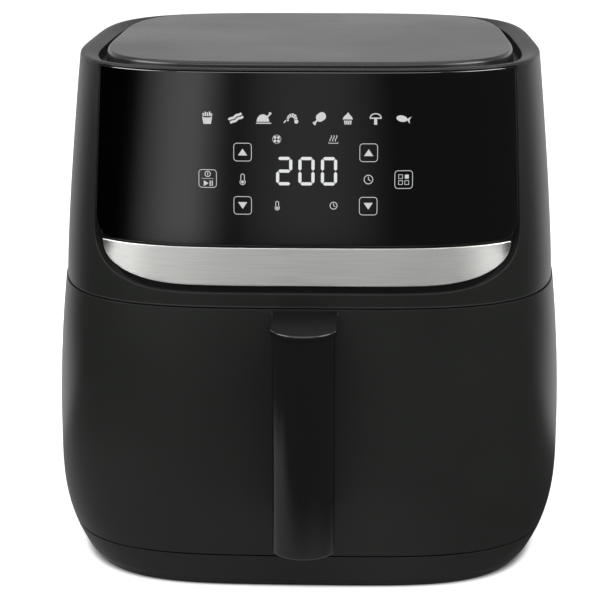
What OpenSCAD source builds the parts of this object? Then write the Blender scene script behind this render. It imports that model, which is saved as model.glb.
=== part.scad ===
// Countertop air fryer: rounded upright body, glass touch panel over a steel trim,
// pull-out drawer with a basket pan and a removable crisper plate.
// Frame: X across, -Y is the drawer side, Z up, floor at z = 0.

/* [Body] */
// Width at the widest level
body_w = 315.4; // [300:0.2:340]
// Depth at the widest level, without the handle
body_d = 343.4; // [325:0.2:370]
// Height of the top rim
body_h = 305; // [290:1:330]
// Level of the widest outline
widest_z = 70; // [60:1:90]
// Level of the seam between drawer and upper housing
seam_z = 170.5; // [164:0.5:176]
// Level of the seam between drawer and base
base_z = 20.5; // [17:0.5:24]
// How far the sides draw in from the widest level down to the floor
foot_in = 7.9; // [4:0.1:12]
// How far the sides draw in from the widest level up to the seam
seam_in = 5.9; // [3:0.1:9]
// Step by which the drawer stands proud of the upper housing
seam_step = 0.7; // [0.3:0.1:1.5]
// How far the sides draw in from the seam up to the rim
rim_in = 11.1; // [6:0.1:16]
// Squareness of the plan outline
squareness = 3.8; // [3:0.05:5]
// Wall of the moulded shells
wall = 2.8; // [2.2:0.1:3.6]
// Width of the seat flanges inside the shells
flange = 9; // [6:0.5:11]
// Visible gap round the drawer front
seam_gap = 0.8; // [0.5:0.1:1.2]
// Distance in front of the centre at which the drawer front ends at the sides
wrap_y = 45; // [35:1:60]

/* [Top cover] */
// Width of the rim with its inner rounding
rim_w = 11; // [9:0.5:14]
// How far the rim slopes down from its crest to its inner edge
rim_dish = 2.4; // [0:0.1:4]
// Depth of the groove inside the rim
groove_depth = 6; // [4:0.5:8]
// Width of the groove between rim and cover
groove_w = 6.5; // [4:0.5:8]
// How far the cover stands above the rim
cover_rise = 1.7; // [0.5:0.1:4]

/* [Control panel] */
// Distance from the rim down to the glass's top edge
glass_drop = 1.6; // [1.4:0.1:5]
// Height of the glass's bottom edge above the seam, at the middle
glass_rise = 35.7; // [32:0.1:42]
// Distance from the body's widest place in to the glass's top corners
glass_in_top = 39.5; // [38:0.1:46]
// Distance from the body's widest place in to the glass's bottom corners
glass_in_bottom = 35.7; // [34:0.1:42]
// Thickness of the glass
glass_t = 2.4; // [1.6:0.1:2.6]
// Height of the steel trim's bottom edge above the seam
trim_rise = 12.5; // [10:0.1:17]
// Thickness of the steel trim
trim_t = 0.8; // [0.6:0.1:1.2]
// Width of the recess left showing under the trim
recess_lip = 4; // [2:0.5:5]

/* [Drawer] */
// Half-width of the basket pan at its rim, without the flange
pan_half_w = 112; // [104:1:114]
// Half-depth of the basket pan at its rim, without the flange
pan_half_d = 114; // [106:1:116]
// Centre of the pan, behind the body's centre
pan_y = -12; // [-14:1:-8]
// Level of the pan's outer floor
pan_floor_z = 33; // [32:1:38]
// Level of the underside of the pan's flange
pan_rim_z = 150; // [142:1:152]
// Width of the pan's flange
pan_flange = 6; // [4:0.5:6]
// Sheet thickness of the pan
pan_t = 1.2; // [0.8:0.1:2]
// Draft of the pan's walls from rim to floor
pan_draft = 7; // [3:0.5:10]
// Level of the underside of the crisper plate
plate_z = 50; // [46:1:60]
// Thickness of the crisper plate
plate_t = 1.6; // [1.2:0.1:2.5]
// Gap between crisper plate and pan wall
plate_gap = 3; // [2:0.5:5]
// Radius of the holes in the crisper plate
plate_hole_r = 3.6; // [2.5:0.1:4.5]
// Spacing of the holes in the crisper plate
plate_pitch = 19; // [16:1:26]
// Thickness of the drawer's inner plate
inner_plate_t = 3; // [2:0.5:4]

/* [Handle] */
// Half-width of the grip
grip_half_w = 17.5; // [15:0.5:20]
// Distance from the body's centre to the front of the grip
grip_front_y = 213; // [208:0.5:220]
// How far the front of the grip bulges
grip_bulge = 11; // [7:0.5:14]
// Depth of the grip from front to back
grip_depth = 16.5; // [15:0.5:19]
// Level of the grip's lower end
grip_bottom_z = 37; // [30:1:50]
// Wall of the grip's front cover
grip_wall = 2.6; // [2:0.1:3.5]
// Half-width of the neck
neck_half_w = 19; // [17:0.5:22]
// Level of the neck's underside at the drawer
neck_bottom_z = 150; // [144:0.5:153]
// Overhang of the cap past the grip
cap_over = 0.8; // [0.4:0.1:1.5]

/* [Oven] */
// Half-width of the oven liner, outside
liner_half_w = 124; // [122:0.5:125]
// Level of the liner's floor, outside
liner_floor_z = 29; // [28:0.5:30]
// Level of the liner's top, outside
liner_top_z = 162; // [158:0.5:162]
// Sheet thickness of the liner and reflector
sheet_t = 1; // [0.8:0.1:1.2]
// Radius of the heat reflector, outside
reflector_r = 98; // [94:1:100]
// Height of the heat reflector above the liner
reflector_h = 46; // [42:1:50]
// Radius of the heating element's tube
element_r = 3.2; // [2.8:0.1:4]
// Radius of the element's inner turn
element_inner_r = 66; // [60:1:68]
// Radius of the element's outer turn
element_outer_r = 84; // [82:1:90]

/* [Fan drive] */
// Radius of the motor shaft
shaft_r = 4; // [3:0.5:5]
// Running clearance of the shaft in its bearing
shaft_clear = 0.05; // [0.02:0.01:0.09]
// Radius of the hot air fan
fan_r = 56; // [46:1:58]
// Number of blades on the hot air fan
fan_blades = 12; // [8:1:16]
// Radius of the motor can
motor_r = 34; // [28:1:38]
// Height of the motor can
motor_h = 30; // [24:1:34]
// Radius of the cooling fan
cooler_r = 50; // [40:1:52]

/* [Hidden] */

half_w = body_w / 2;
half_d = body_d / 2;
// Running gap between bodies, and the fit between pieces that are screwed together
clear = 0.3;
// The handle reaches past the body, so the body's centre sits behind the origin
body_y = (grip_front_y + cap_over - half_d) / 2;
foot_power = 2.6;
seam_power = 2;
rim_power = 1.3;
rim_softening = 0.15;
plan_steps = 72;
level_step = 25;
recess_floor = wall + clear;
glass_top = body_h - glass_drop;
glass_bottom = seam_z + glass_rise;
glass_half_top = half_w - glass_in_top;
glass_half_bottom = half_w - glass_in_bottom;
trim_bottom = seam_z + trim_rise;
housing_low = seam_z + clear;
rim_slope = 6;
drawer_low = base_z + seam_gap / 2;
drawer_high = seam_z - seam_gap / 2;

black = [0.07, 0.07, 0.07];
gloss = [0.03, 0.03, 0.03];
steel = [0.72, 0.72, 0.7];
zinc = [0.6, 0.61, 0.62];
dark_pan = [0.16, 0.16, 0.17];
board_green = [0.08, 0.3, 0.16];

// ---- Body outline -------------------------------------------------------------

// How far the outline is drawn in at a level
function draw_in(z) =
  z < widest_z ? foot_in * pow((widest_z - z) / widest_z, foot_power)
  : z <= seam_z ? seam_in * pow((z - widest_z) / (seam_z - widest_z), seam_power)
  : seam_in + seam_step + rim_in * pow((z - seam_z) / (body_h - seam_z), rim_power);

function plan_power(z) =
  squareness - rim_softening * max(0, z - seam_z) / (body_h - seam_z);

function side_sign(v) = v < 0 ? -1 : 1;

// Point of an oval with flattened sides, moved inward square to its edge
function oval_point(a, b, n, angle, inset) =
  let (
    c = cos(angle),
    s = sin(angle),
    x = a * side_sign(c) * pow(abs(c), 2 / n),
    y = b * side_sign(s) * pow(abs(s), 2 / n),
    nx = side_sign(c) * pow(abs(c), 2 - 2 / n) / a,
    ny = side_sign(s) * pow(abs(s), 2 - 2 / n) / b,
    len = norm([nx, ny])
  )
  [x - inset * nx / len, y - inset * ny / len];

// Point of the body's outline at a plan angle and level
function body_point(angle, z, inset = 0) =
  concat(
    oval_point(half_w - draw_in(z), half_d - draw_in(z), plan_power(z), angle, inset), z);

// Point of the front wall at a place across and level, moved inward square to the wall
function front_point(x, z, inset = 0) =
  let (
    n = plan_power(z),
    a = half_w - draw_in(z),
    b = half_d - draw_in(z),
    share = pow(max(0, 1 - pow(abs(x / a), n)), 1 / n),
    nx = side_sign(x) * pow(abs(x / a), n - 1) / a,
    ny = -pow(share, n - 1) / b,
    len = norm([nx, ny])
  )
  [x - inset * nx / len, -b * share - inset * ny / len, z];

// Half-width of the outline at a distance from the centre, inside a wall
function half_width_at(y, z, inset = 0) =
  let (n = plan_power(z), a = half_w - draw_in(z) - inset, b = half_d - draw_in(z) - inset)
  a * pow(max(0, 1 - pow(abs(y) / b, n)), 1 / n);

function body_ring(inset, z) =
  [for (i = [0 : plan_steps - 1]) body_point(360 * i / plan_steps, z, inset)];

// Evenly spread levels between two heights
function levels(from, to) =
  let (count = max(1, round((to - from) / level_step)))
  [for (i = [0 : count]) from + (to - from) * i / count];

// ---- Shell builders -----------------------------------------------------------

function quad(a, b, c, d) = [[a, b, c], [a, c, d]];

function flat_list(lists) = [for (list = lists) for (item = list) item];

// Closed skin through a row of rings; a tube closes on itself, a vessel has two caps
module loft(rings, tube = false) {
  rows = len(rings);
  count = len(rings[0]);
  spans = tube ? rows : rows - 1;
  sides = flat_list([
    for (k = [0 : spans - 1]) for (i = [0 : count - 1])
      let (up = (k + 1) % rows, on = (i + 1) % count)
      quad(k * count + i, up * count + i, up * count + on, k * count + on)
  ]);
  caps = tube ? [] : [
    [for (i = [0 : count - 1]) i],
    [for (i = [count - 1 : -1 : 0]) (rows - 1) * count + i]
  ];
  polyhedron(points = flat_list(rings), faces = concat(sides, caps), convexity = 8);
}

// Solid between two matching grids of points, columns running left to right from outside
module grid_shell(outer, inner) {
  columns = len(outer);
  rows = len(outer[0]);
  shift = columns * rows;
  last = columns - 1;
  top = rows - 1;
  faces = flat_list(concat(
    [for (i = [0 : last - 1]) for (j = [0 : top - 1])
      quad(i * rows + j, i * rows + j + 1, (i + 1) * rows + j + 1, (i + 1) * rows + j)],
    [for (i = [0 : last - 1]) for (j = [0 : top - 1])
      quad(shift + i * rows + j, shift + (i + 1) * rows + j,
        shift + (i + 1) * rows + j + 1, shift + i * rows + j + 1)],
    [for (i = [0 : last - 1])
      quad(i * rows, (i + 1) * rows, shift + (i + 1) * rows, shift + i * rows)],
    [for (i = [0 : last - 1])
      quad((i + 1) * rows + top, i * rows + top,
        shift + i * rows + top, shift + (i + 1) * rows + top)],
    [for (j = [0 : top - 1]) quad(j + 1, j, shift + j, shift + j + 1)],
    [for (j = [0 : top - 1])
      quad(last * rows + j, last * rows + j + 1,
        shift + last * rows + j + 1, shift + last * rows + j)]
  ));
  polyhedron(
    points = concat(flat_list(outer), flat_list(inner)), faces = faces, convexity = 8);
}

// Plan angle at which the outline passes a distance from the centre
function edge_angle(y, z) = asin(pow(y / (half_d - draw_in(z)), plan_power(z) / 2));

// Wall of the body in front of or behind two upright edges, with seat flanges
module wall_sector(rear, edge_y, low, high) {
  steps = plan_steps / 2;
  // Each row: level outside, level inside, thickness
  heights = concat(
    [[low, low, flange], [low + wall / 2, low + wall, flange], [low + wall, low + wall, wall]],
    [for (z = levels(low + 2 * wall, high - 2 * wall)) [z, z, wall]],
    [[high - wall, high - wall, wall], [high - wall / 2, high - wall, flange],
      [high, high, flange]]
  );
  function angle(i, z) =
    let (e = edge_angle(edge_y, z))
    rear ? -e + (180 + 2 * e) * i / steps : 180 + e + (180 - 2 * e) * i / steps;
  grid_shell(
    [for (i = [0 : steps]) [for (h = heights) body_point(angle(i, h[0]), h[0])]],
    [for (i = [0 : steps]) [for (h = heights) body_point(angle(i, h[1]), h[1], h[2])]]
  );
}

// Part of the front wall between a bottom and a top curve
module front_sheet(xs, rows, bottom, top, out, in) {
  grid_shell(
    [for (i = [0 : len(xs) - 1]) [for (j = [0 : rows])
      front_point(xs[i], bottom[i] + (top[i] - bottom[i]) * j / rows, out)]],
    [for (i = [0 : len(xs) - 1]) [for (j = [0 : rows])
      front_point(xs[i], bottom[i] + (top[i] - bottom[i]) * j / rows, in)]]
  );
}

// Upright box with rounded corners, lying along Y from one place to another
module tunnel(half_x, low, high, r, from, to) {
  translate([0, to, 0]) rotate([90, 0, 0]) linear_extrude(to - from) {
    translate([-half_x + r, low]) square([2 * (half_x - r), high - low]);
    translate([-half_x, low + r]) square([2 * half_x, high - low - 2 * r]);
    for (x = [-1, 1]) for (z = [low + r, high - r])
      translate([x * (half_x - r), z]) circle(r, $fn = 48);
  }
}

// Cylinder along Y
module rod_y(r, from, to) {
  translate([0, to, 0]) rotate([90, 0, 0]) cylinder(r = r, h = to - from, $fn = 32);
}

fan_y = -6;
frame_front = -112;
frame_back = clear * 2 - wrap_y;
liner_back = 118;
frame_in_w = liner_half_w + clear;
frame_in_low = liner_floor_z - clear;
frame_in_high = liner_top_z + sheet_t + clear;
deck_low = housing_low + wall;
deck_t = 2.4;
deck_top = deck_low + deck_t;
reflector_top = liner_top_z + reflector_h;
reflector_foot = 6;

// ---- Upper casing -------------------------------------------------------------

cover_in = rim_w + groove_w;
groove_z = body_h - groove_depth;
rim_floor = groove_z - wall - rim_slope;

// Drop of a boat-shaped edge at a place across: flat in the middle, rising to its tips
function boat_rise(x, flat, tip, height) =
  let (share = min(1, max(0, abs(x) - flat) / (tip - flat)))
  height * (1 - pow(1 - pow(share, 2.4), 1 / 2.4));

glass_gap = 0.5;
trim_gap = 0.9;
corner_in = 12;
corner_up = 14;
trim_flat = 62;
trim_tip = glass_half_bottom - 4.4;
window_tip = glass_half_bottom + glass_gap;
window_top = glass_top + glass_gap;

function glass_half(z) =
  glass_half_top + (glass_half_bottom - glass_half_top)
    * (glass_top - z) / (glass_top - glass_bottom);

function glass_low(x) =
  glass_bottom + boat_rise(x, glass_half_bottom - corner_in, glass_half_bottom, corner_up);

function window_low(x) =
  trim_bottom - recess_lip
    + boat_rise(x, trim_flat, window_tip, glass_bottom + corner_up - trim_bottom + recess_lip);

// Outline of the opening in the front wall, seen from the front
module window_outline() {
  step = 4;
  side = [for (x = [0 : step : window_tip]) [x, window_low(x)]];
  half = concat(side, [
    [window_tip, window_low(window_tip)],
    [glass_half(glass_top) + glass_gap, window_top],
    [0, window_top]
  ]);
  for (m = [0, 1]) mirror([m, 0]) polygon(half);
}

grille_half_w = 72;
grille_low = seam_z + 41.5;
grille_high = body_h - 37;

module upper_housing() {
  xs = across(window_tip + 3, 14);
  outer = [for (z = levels(housing_low, body_h - 3)) [0, z]];
  inner = [for (z = levels(-rim_floor, -(housing_low + wall))) [wall, -z]];
  section = concat(outer, [
    [0.7, body_h - 0.9], [1.8, body_h - 0.1], [3.6, body_h],
    [rim_w - 0.9, body_h - rim_dish], [rim_w - 0.2, body_h - rim_dish - 0.8],
    [rim_w + 0.3, groove_z],
    [cover_in + flange, groove_z], [cover_in + flange, groove_z - wall],
    [wall + 4, groove_z - wall]
  ], inner, [[flange, housing_low + wall], [flange, housing_low]]);
  color(black) translate([0, body_y, 0]) difference() {
    loft([for (s = section) body_ring(s[0], s[1])], tube = true);
    intersection() {
      translate([0, -half_d / 2, 0]) rotate([90, 0, 0]) linear_extrude(half_d)
        window_outline();
      front_sheet(xs, 6, [for (x = xs) window_low(0) - 2], [for (x = xs) body_h - 0.5],
        -3, recess_floor);
    }
    tunnel(grille_half_w, grille_low, grille_high, 6, half_d / 2, half_d + 10);
  }
}

module top_cover() {
  top = body_h + cover_rise;
  side = [
    [cover_in + wall, top - wall], [cover_in + wall, groove_z],
    [cover_in, groove_z], [cover_in, top - 2], [cover_in + 0.5, top - 0.8],
    [cover_in + 1.4, top - 0.2], [cover_in + 3, top]
  ];
  color([0.2, 0.2, 0.2]) translate([0, body_y, 0])
    loft([for (s = side) body_ring(s[0], s[1])]);
}

// Places across for a sheet that ends at a tip, closer together towards the tip
function across(tip, count) =
  [for (i = [-count : count]) tip * sin(90 * i / count)];

// Carrier behind the opening: its front is the floor of the recess
module panel_frame() {
  lap = 2;
  corner_rise = 26;
  xs = across(window_tip + lap / 2, 14);
  low = [for (x = xs) min(window_low(x), window_low(0) + corner_rise) - lap];
  high = [for (x = xs) rim_floor - wall];
  color(gloss) translate([0, body_y, 0]) {
    front_sheet(xs, 6, low, high, recess_floor, recess_floor + 2);
    for (x = [-1, 1]) for (z = [board_low + 5, board_high - 5])
      translate([x * (board_half_w - 5), 0, z])
        rod_y(3, front_point(board_half_w, z, recess_floor + 1)[1], board_y);
  }
}

module control_panel() {
  xs = across(glass_half_bottom, 14);
  low = [for (x = xs) glass_low(x)];
  count = 5;
  proud = 0.2;
  // The sides lean in, so each row is scaled to the glass's half-width at its level
  function place(x, z, inset) =
    front_point(x * glass_half(z) / glass_half_bottom, z, inset);
  function row_z(i, j) = low[i] + (glass_top - low[i]) * j / count;
  color(gloss) translate([0, body_y, 0]) grid_shell(
    [for (i = [0 : len(xs) - 1]) [for (j = [0 : count])
      place(xs[i], row_z(i, j), proud)]],
    [for (i = [0 : len(xs) - 1]) [for (j = [0 : count])
      place(xs[i], row_z(i, j), proud + glass_t)]]
  );
}

module steel_trim() {
  xs = across(trim_tip, 16);
  top = [for (x = xs) glass_low(x * 0.93) - trim_gap];
  height = glass_bottom - trim_gap - trim_bottom;
  low = [for (i = [0 : len(xs) - 1])
    min(trim_bottom + boat_rise(xs[i], trim_flat, trim_tip, height), top[i] - 0.4)];
  color(steel) translate([0, body_y, 0])
    front_sheet(xs, 3, low, top, 1.4, 1.4 + trim_t);
}

// ---- Lower casing -------------------------------------------------------------

base_floor = 5;
foot_h = 2;
foot_r = 10;
foot_x = 105;
foot_y = 118;
stem_r = 3;
screw_x = 60;
screw_y = 96;
base_screw_r = 2;
screw_head_r = 4;
screw_head_h = 2.2;
boss_r = 6;

module each_foot() {
  for (x = [-foot_x, foot_x]) for (y = [-foot_y, foot_y])
    translate([x, y, 0]) children();
}

module each_base_screw() {
  for (x = [-screw_x, screw_x]) for (y = [-screw_y, screw_y])
    translate([x, y, 0]) children();
}

module base_tub() {
  rim = base_z - seam_gap / 2;
  side = [
    [9, foot_h], [4, foot_h], [1.4, foot_h + 1], [0, foot_h + 3.5], [0, 12], [0, rim],
    [wall, rim], [wall, base_floor + 4], [wall + 4, base_floor]
  ];
  slot_pitch = 12;
  color(black) translate([0, body_y, 0]) difference() {
    union() {
      loft([for (s = side) body_ring(s[0], s[1])]);
      // The front pair of bosses carries the collar, the rear pair the liner
      for (x = [-screw_x, screw_x]) for (end = [[-1, frame_in_low - wall], [1, liner_floor_z]])
        translate([x, end[0] * screw_y, base_floor - 1])
          cylinder(r = boss_r, h = end[1] - clear - base_floor + 1, $fn = 48);
    }
    each_foot() cylinder(r = stem_r, h = 20, $fn = 32);
    each_base_screw() {
      cylinder(r = base_screw_r + 0.2, h = liner_floor_z, $fn = 32);
      cylinder(r = screw_head_r + clear, h = base_floor + screw_head_h, $fn = 32);
    }
    for (i = [-5 : 5]) translate([i * slot_pitch, 60, 0]) {
      translate([-1.8, -20, 0]) cube([3.6, 40, 20]);
      for (y = [-20, 20]) translate([0, y, 0]) cylinder(r = 1.8, h = 20, $fn = 24);
    }
  }
}

module rubber_feet() {
  profile = [
    [0, 0], [foot_r - 0.8, 0], [foot_r, 0.8], [foot_r, foot_h], [stem_r - 0.2, foot_h],
    [stem_r - 0.2, base_floor + 0.2], [stem_r + 0.8, base_floor + 0.4],
    [stem_r - 0.4, base_floor + 4], [0, base_floor + 4]
  ];
  color([0.12, 0.12, 0.12]) translate([0, body_y, 0])
    each_foot() rotate_extrude($fn = 48) polygon(profile);
}

// Screws from below, through the base's bosses into the floor of the liner
module base_screws() {
  color(zinc) translate([0, body_y, 0]) each_base_screw() difference() {
    union() {
      translate([0, 0, base_floor]) cylinder(r = screw_head_r, h = screw_head_h - 0.1, $fn = 32);
      translate([0, 0, base_floor + 1])
        cylinder(r = base_screw_r, h = liner_floor_z + sheet_t + 1 - base_floor - 1, $fn = 32);
    }
    for (a = [0, 90]) rotate(a)
      translate([-0.5, -2.2, base_floor - 1]) cube([1, 4.4, 2]);
  }
}

gland_x = 58;
gland_z = 52;
gland_r = 7;

module body_shell() {
  color(black) translate([0, body_y, 0]) difference() {
    wall_sector(true, wrap_y, base_z, seam_z);
    translate([gland_x, 0, gland_z]) rod_y(gland_r, half_d - 40, half_d + 5);
  }
}

// Grommet where the mains lead leaves the back wall
module cord_gland() {
  wall_y = -front_point(gland_x, gland_z)[1];
  neck_r = gland_r - clear;
  profile = [
    [3.5, -wall - 4], [neck_r + 2, -wall - 4], [neck_r + 2, -wall - 1.6],
    [neck_r, -wall - 1.6], [neck_r, 1], [neck_r + 2.5, 1], [neck_r + 1.6, 3.6], [3.5, 4.4]
  ];
  color([0.1, 0.1, 0.1]) translate([gland_x, body_y + wall_y, gland_z])
    rotate([-90, 0, 0]) rotate_extrude($fn = 48) polygon(profile);
}

// Flat insert in the opening of the back wall, with sloping louvres
module rear_grille() {
  edge = 5;
  face_y = -front_point(grille_half_w + edge, grille_high + edge, wall)[1] - clear;
  depth = 5;
  count = 10;
  pitch = (grille_high - grille_low - 8) / count;
  color(gloss) translate([0, body_y, 0]) {
    difference() {
      tunnel(grille_half_w + edge, grille_low - edge, grille_high + edge, 8, face_y - 2.4,
        face_y);
      tunnel(grille_half_w - 4, grille_low + 4, grille_high - 4, 4, face_y - 5, face_y + 1);
    }
    for (i = [1 : count - 1])
      translate([0, face_y - 1.2, grille_low + 4 + i * pitch]) rotate([-35, 0, 0])
        cube([2 * grille_half_w - 7, depth, 1.4], center = true);
    for (x = [-1, 0, 1])
      translate([x * grille_half_w / 2 - 1, face_y - 2.4, grille_low + 3])
        cube([2, 2.4, grille_high - grille_low - 6]);
  }
}

// ---- Frame and oven -----------------------------------------------------------

board_half_w = 58;
board_low = seam_z + 53.5;
board_high = body_h - 17;
board_mid = (board_low + board_high) / 2;
board_y = -143;
board_t = 1.6;
power_low = deck_top + 50;
power_w = 64;
power_d = 106;
power_x = half_w - power_w - 31.7;
power_y = -58;
post_r = 4;

// Deck that closes the oven space off from the electronics and carries them
module mid_deck() {
  outline = [for (p = body_ring(wall + clear, deck_top)) [p[0], p[1]]];
  color(black) translate([0, body_y, 0]) {
    difference() {
      translate([0, 0, deck_low]) linear_extrude(deck_t) polygon(outline);
      translate([0, fan_y, deck_low - 1])
        cylinder(r = reflector_r + 1.5, h = deck_t + 2, $fn = 96);
    }
    for (y = [power_y + 8, power_y + power_d - 8])
      translate([power_x + power_w - 8, y, deck_top])
        cylinder(r = post_r, h = power_low - deck_top, $fn = 32);
    for (x = [-duct_leg_x, duct_leg_x])
      translate([x, duct_leg_y, deck_top])
        cylinder(r = post_r, h = grille_low - deck_top, $fn = 32);
  }
}

// Collar that the drawer front cups over, with the flange that closes the body's front
module cavity_frame() {
  low = base_z + wall + clear;
  high = seam_z - wall - clear;
  edge = [for (z = levels(low, high)) [half_width_at(frame_back, z, wall + clear), z]];
  color(black) translate([0, body_y, 0]) difference() {
    union() {
      translate([0, frame_back + wall, 0]) rotate([90, 0, 0]) linear_extrude(wall)
        polygon(concat(edge,
          [for (i = [len(edge) - 1 : -1 : 0]) [-edge[i][0], edge[i][1]]]));
      tunnel(frame_in_w + wall, frame_in_low - wall, frame_in_high + wall, 9,
        frame_front, frame_back + wall);
    }
    tunnel(frame_in_w, frame_in_low, frame_in_high, 6, frame_front - 1,
      frame_back + wall + 1);
    translate([0, fan_y, frame_in_high - 0.1])
      cylinder(r = reflector_r + 1.5, h = wall + 2, $fn = 96);
    each_base_screw() translate([0, 0, frame_in_low - wall - 1])
      cylinder(r = base_screw_r + clear, h = wall + 2, $fn = 32);
  }
}

module oven_liner() {
  w = liner_half_w;
  color(zinc) translate([0, body_y, 0]) difference() {
    union() {
      tunnel(w, liner_floor_z, liner_top_z, 6, frame_front, liner_back);
      tunnel(frame_in_w + wall, frame_in_low - wall, frame_in_high + wall, 9,
        frame_front - sheet_t, frame_front);
    }
    tunnel(w - sheet_t, liner_floor_z + sheet_t, liner_top_z - sheet_t, 5,
      frame_front - 2 * sheet_t, liner_back - sheet_t);
    translate([0, fan_y, liner_top_z - 2 * sheet_t])
      cylinder(r = reflector_r - sheet_t, h = 3 * sheet_t, $fn = 96);
    each_base_screw() translate([0, 0, liner_floor_z - 1])
      cylinder(r = base_screw_r + clear, h = sheet_t + 2, $fn = 32);
  }
}

// Ledges under the pan's flange, one on each side wall of the liner
module pan_rails() {
  edge = liner_half_w - sheet_t;
  top = pan_rim_z - clear;
  lip = edge - pan_half_w - 1.5;
  profile = [
    [edge, top + 5], [edge, top - 7], [edge - 1.2, top - 7], [edge - 1.2, top - 1.2],
    [edge - lip + 1, top - 1.2], [edge - lip, top - 0.6], [edge - lip, top],
    [edge - 1.2, top], [edge - 1.2, top + 5]
  ];
  color(zinc) translate([0, body_y, 0]) for (m = [0, 1]) mirror([m, 0, 0])
    translate([0, liner_back - 14, 0]) rotate([90, 0, 0])
      linear_extrude(liner_back - frame_front - 20) polygon(profile);
}

// ---- Heater and fan drive -----------------------------------------------------

terminal_x = [-5.75, -17.2];
probe_x = 66;
probe_y = 22;
probe_r = 2;

module heat_reflector() {
  r = reflector_r;
  t = sheet_t;
  h = reflector_h;
  profile = [
    [r + reflector_foot, 0], [r + reflector_foot, t], [r, t], [r, h - 9], [r - 2, h - 3.5],
    [r - 8, h], [9, h], [9, h - t], [r - 8.4, h - t], [r - 2.9, h - 4.2], [r - t, h - 9.3],
    [r - t, 0]
  ];
  color(zinc) translate([0, body_y + fan_y, liner_top_z]) difference() {
    rotate_extrude($fn = 96) polygon(profile);
    for (x = terminal_x) translate([x, 0, element_z - liner_top_z])
      rod_y(element_r + 0.8, r - 20, r + 5);
    translate([probe_x, probe_y, h - 3]) cylinder(r = probe_r + clear, h = 6, $fn = 32);
  }
}

element_z = deck_top + element_r + 3;

// Arc of tube round the vertical axis
module bent_tube(bend_r, tube_r, from, sweep) {
  rotate([0, 0, from]) rotate_extrude(angle = sweep, $fn = 96)
    translate([bend_r, 0]) circle(tube_r, $fn = 24);
}

// Two turns of sheathed heater, joined by a hairpin; both ends leave at the back
module heating_element() {
  inner_start = acos(terminal_x[0] / element_inner_r);
  outer_start = acos(terminal_x[1] / element_outer_r);
  turn_end = 430;
  mid_r = (element_inner_r + element_outer_r) / 2;
  hairpin_r = (element_outer_r - element_inner_r) / 2;
  ferrule = 0.5;
  // Straight end from a turn to outside the reflector, with the ferrule at its bend
  module terminal(x, turn_r) {
    bend_y = sqrt(pow(turn_r, 2) - pow(x, 2));
    translate([x, bend_y, 0]) sphere(r = element_r + ferrule, $fn = 32);
    translate([x, 0, 0]) rod_y(element_r, bend_y, reflector_r + 12);
  }
  color([0.35, 0.33, 0.31]) translate([0, body_y + fan_y, element_z]) {
    bent_tube(element_inner_r, element_r, inner_start, turn_end - inner_start);
    bent_tube(element_outer_r, element_r, outer_start, turn_end - outer_start);
    rotate([0, 0, turn_end]) translate([mid_r, 0, 0]) {
      bent_tube(hairpin_r, element_r, 0, 180);
      for (x = [-hairpin_r, hairpin_r]) translate([x, 0, 0])
        sphere(r = element_r + ferrule, $fn = 32);
    }
    terminal(terminal_x[0], element_inner_r);
    terminal(terminal_x[1], element_outer_r);
  }
}

// Wire guard under the element
module element_guard() {
  wire_r = 1.2;
  reach = reflector_r - sheet_t - 0.2;
  color(zinc) translate([0, body_y + fan_y, liner_top_z + 4]) {
    for (r = [30, 60, reach - 4]) bent_tube(r, wire_r, 0, 360);
    for (a = [0 : 60 : 120]) rotate([0, 0, a]) rod_y(wire_r, -reach, reach);
  }
}

bracket_low = reflector_top + 12;
bracket_t = 2;
motor_low = bracket_low + bracket_t;
motor_top = motor_low + motor_h;

module motor_bracket() {
  ring_r = motor_r + 14;
  color(zinc) translate([0, body_y + fan_y, 0]) {
    translate([0, 0, bracket_low]) difference() {
      cylinder(r = ring_r, h = bracket_t, $fn = 96);
      translate([0, 0, -1]) cylinder(r = 14, h = bracket_t + 2, $fn = 48);
      for (a = [0 : 60 : 300]) rotate([0, 0, a + 30]) translate([24, 0, -1])
        cylinder(r = 6, h = bracket_t + 2, $fn = 32);
    }
    for (a = [90 : 120 : 330]) rotate([0, 0, a]) translate([ring_r - 6, 0, reflector_top])
      cylinder(r = post_r, h = bracket_low - reflector_top + 1, $fn = 32);
  }
}

module motor() {
  bore = shaft_r + shaft_clear;
  profile = [
    [bore, -3], [10, -3], [10, 0], [motor_r - 2, 0], [motor_r, 2],
    [motor_r, 9], [motor_r - 1.5, 9.5], [motor_r - 1.5, motor_h - 9.5],
    [motor_r, motor_h - 9], [motor_r, motor_h - 3], [motor_r - 3, motor_h],
    [11, motor_h], [9, motor_h + 3], [bore, motor_h + 3]
  ];
  color(zinc) translate([0, body_y + fan_y, motor_low])
    rotate_extrude($fn = 96) polygon(profile);
}

fan_low = reflector_top - 26;
fan_h = 20;
cooler_low = motor_top + 5;
cooler_h = 13;
hub_r = 9;

module motor_shaft() {
  low = fan_low - 6;
  high = cooler_low + cooler_h + 3;
  color(steel) translate([0, body_y + fan_y, low]) {
    cylinder(r = shaft_r, h = high - low, $fn = 48);
    rotate_extrude($fn = 48)
      polygon([[0, -5], [2, -5], [7, -1], [7, 5], [shaft_r - 0.5, 5], [0, 5]]);
  }
}

// Outline of one backward curved blade from hub to rim
module blade_outline(inner, outer, thick, lean) {
  steps = 6;
  function line(u, side) =
    let (r = inner + (outer - inner) * u, a = lean * u * u)
    [r * cos(a) - side * thick / 2 * sin(a), r * sin(a) + side * thick / 2 * cos(a)];
  polygon(concat(
    [for (i = [0 : steps]) line(i / steps, -1)],
    [for (i = [steps : -1 : 0]) line(i / steps, 1)]
  ));
}

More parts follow.
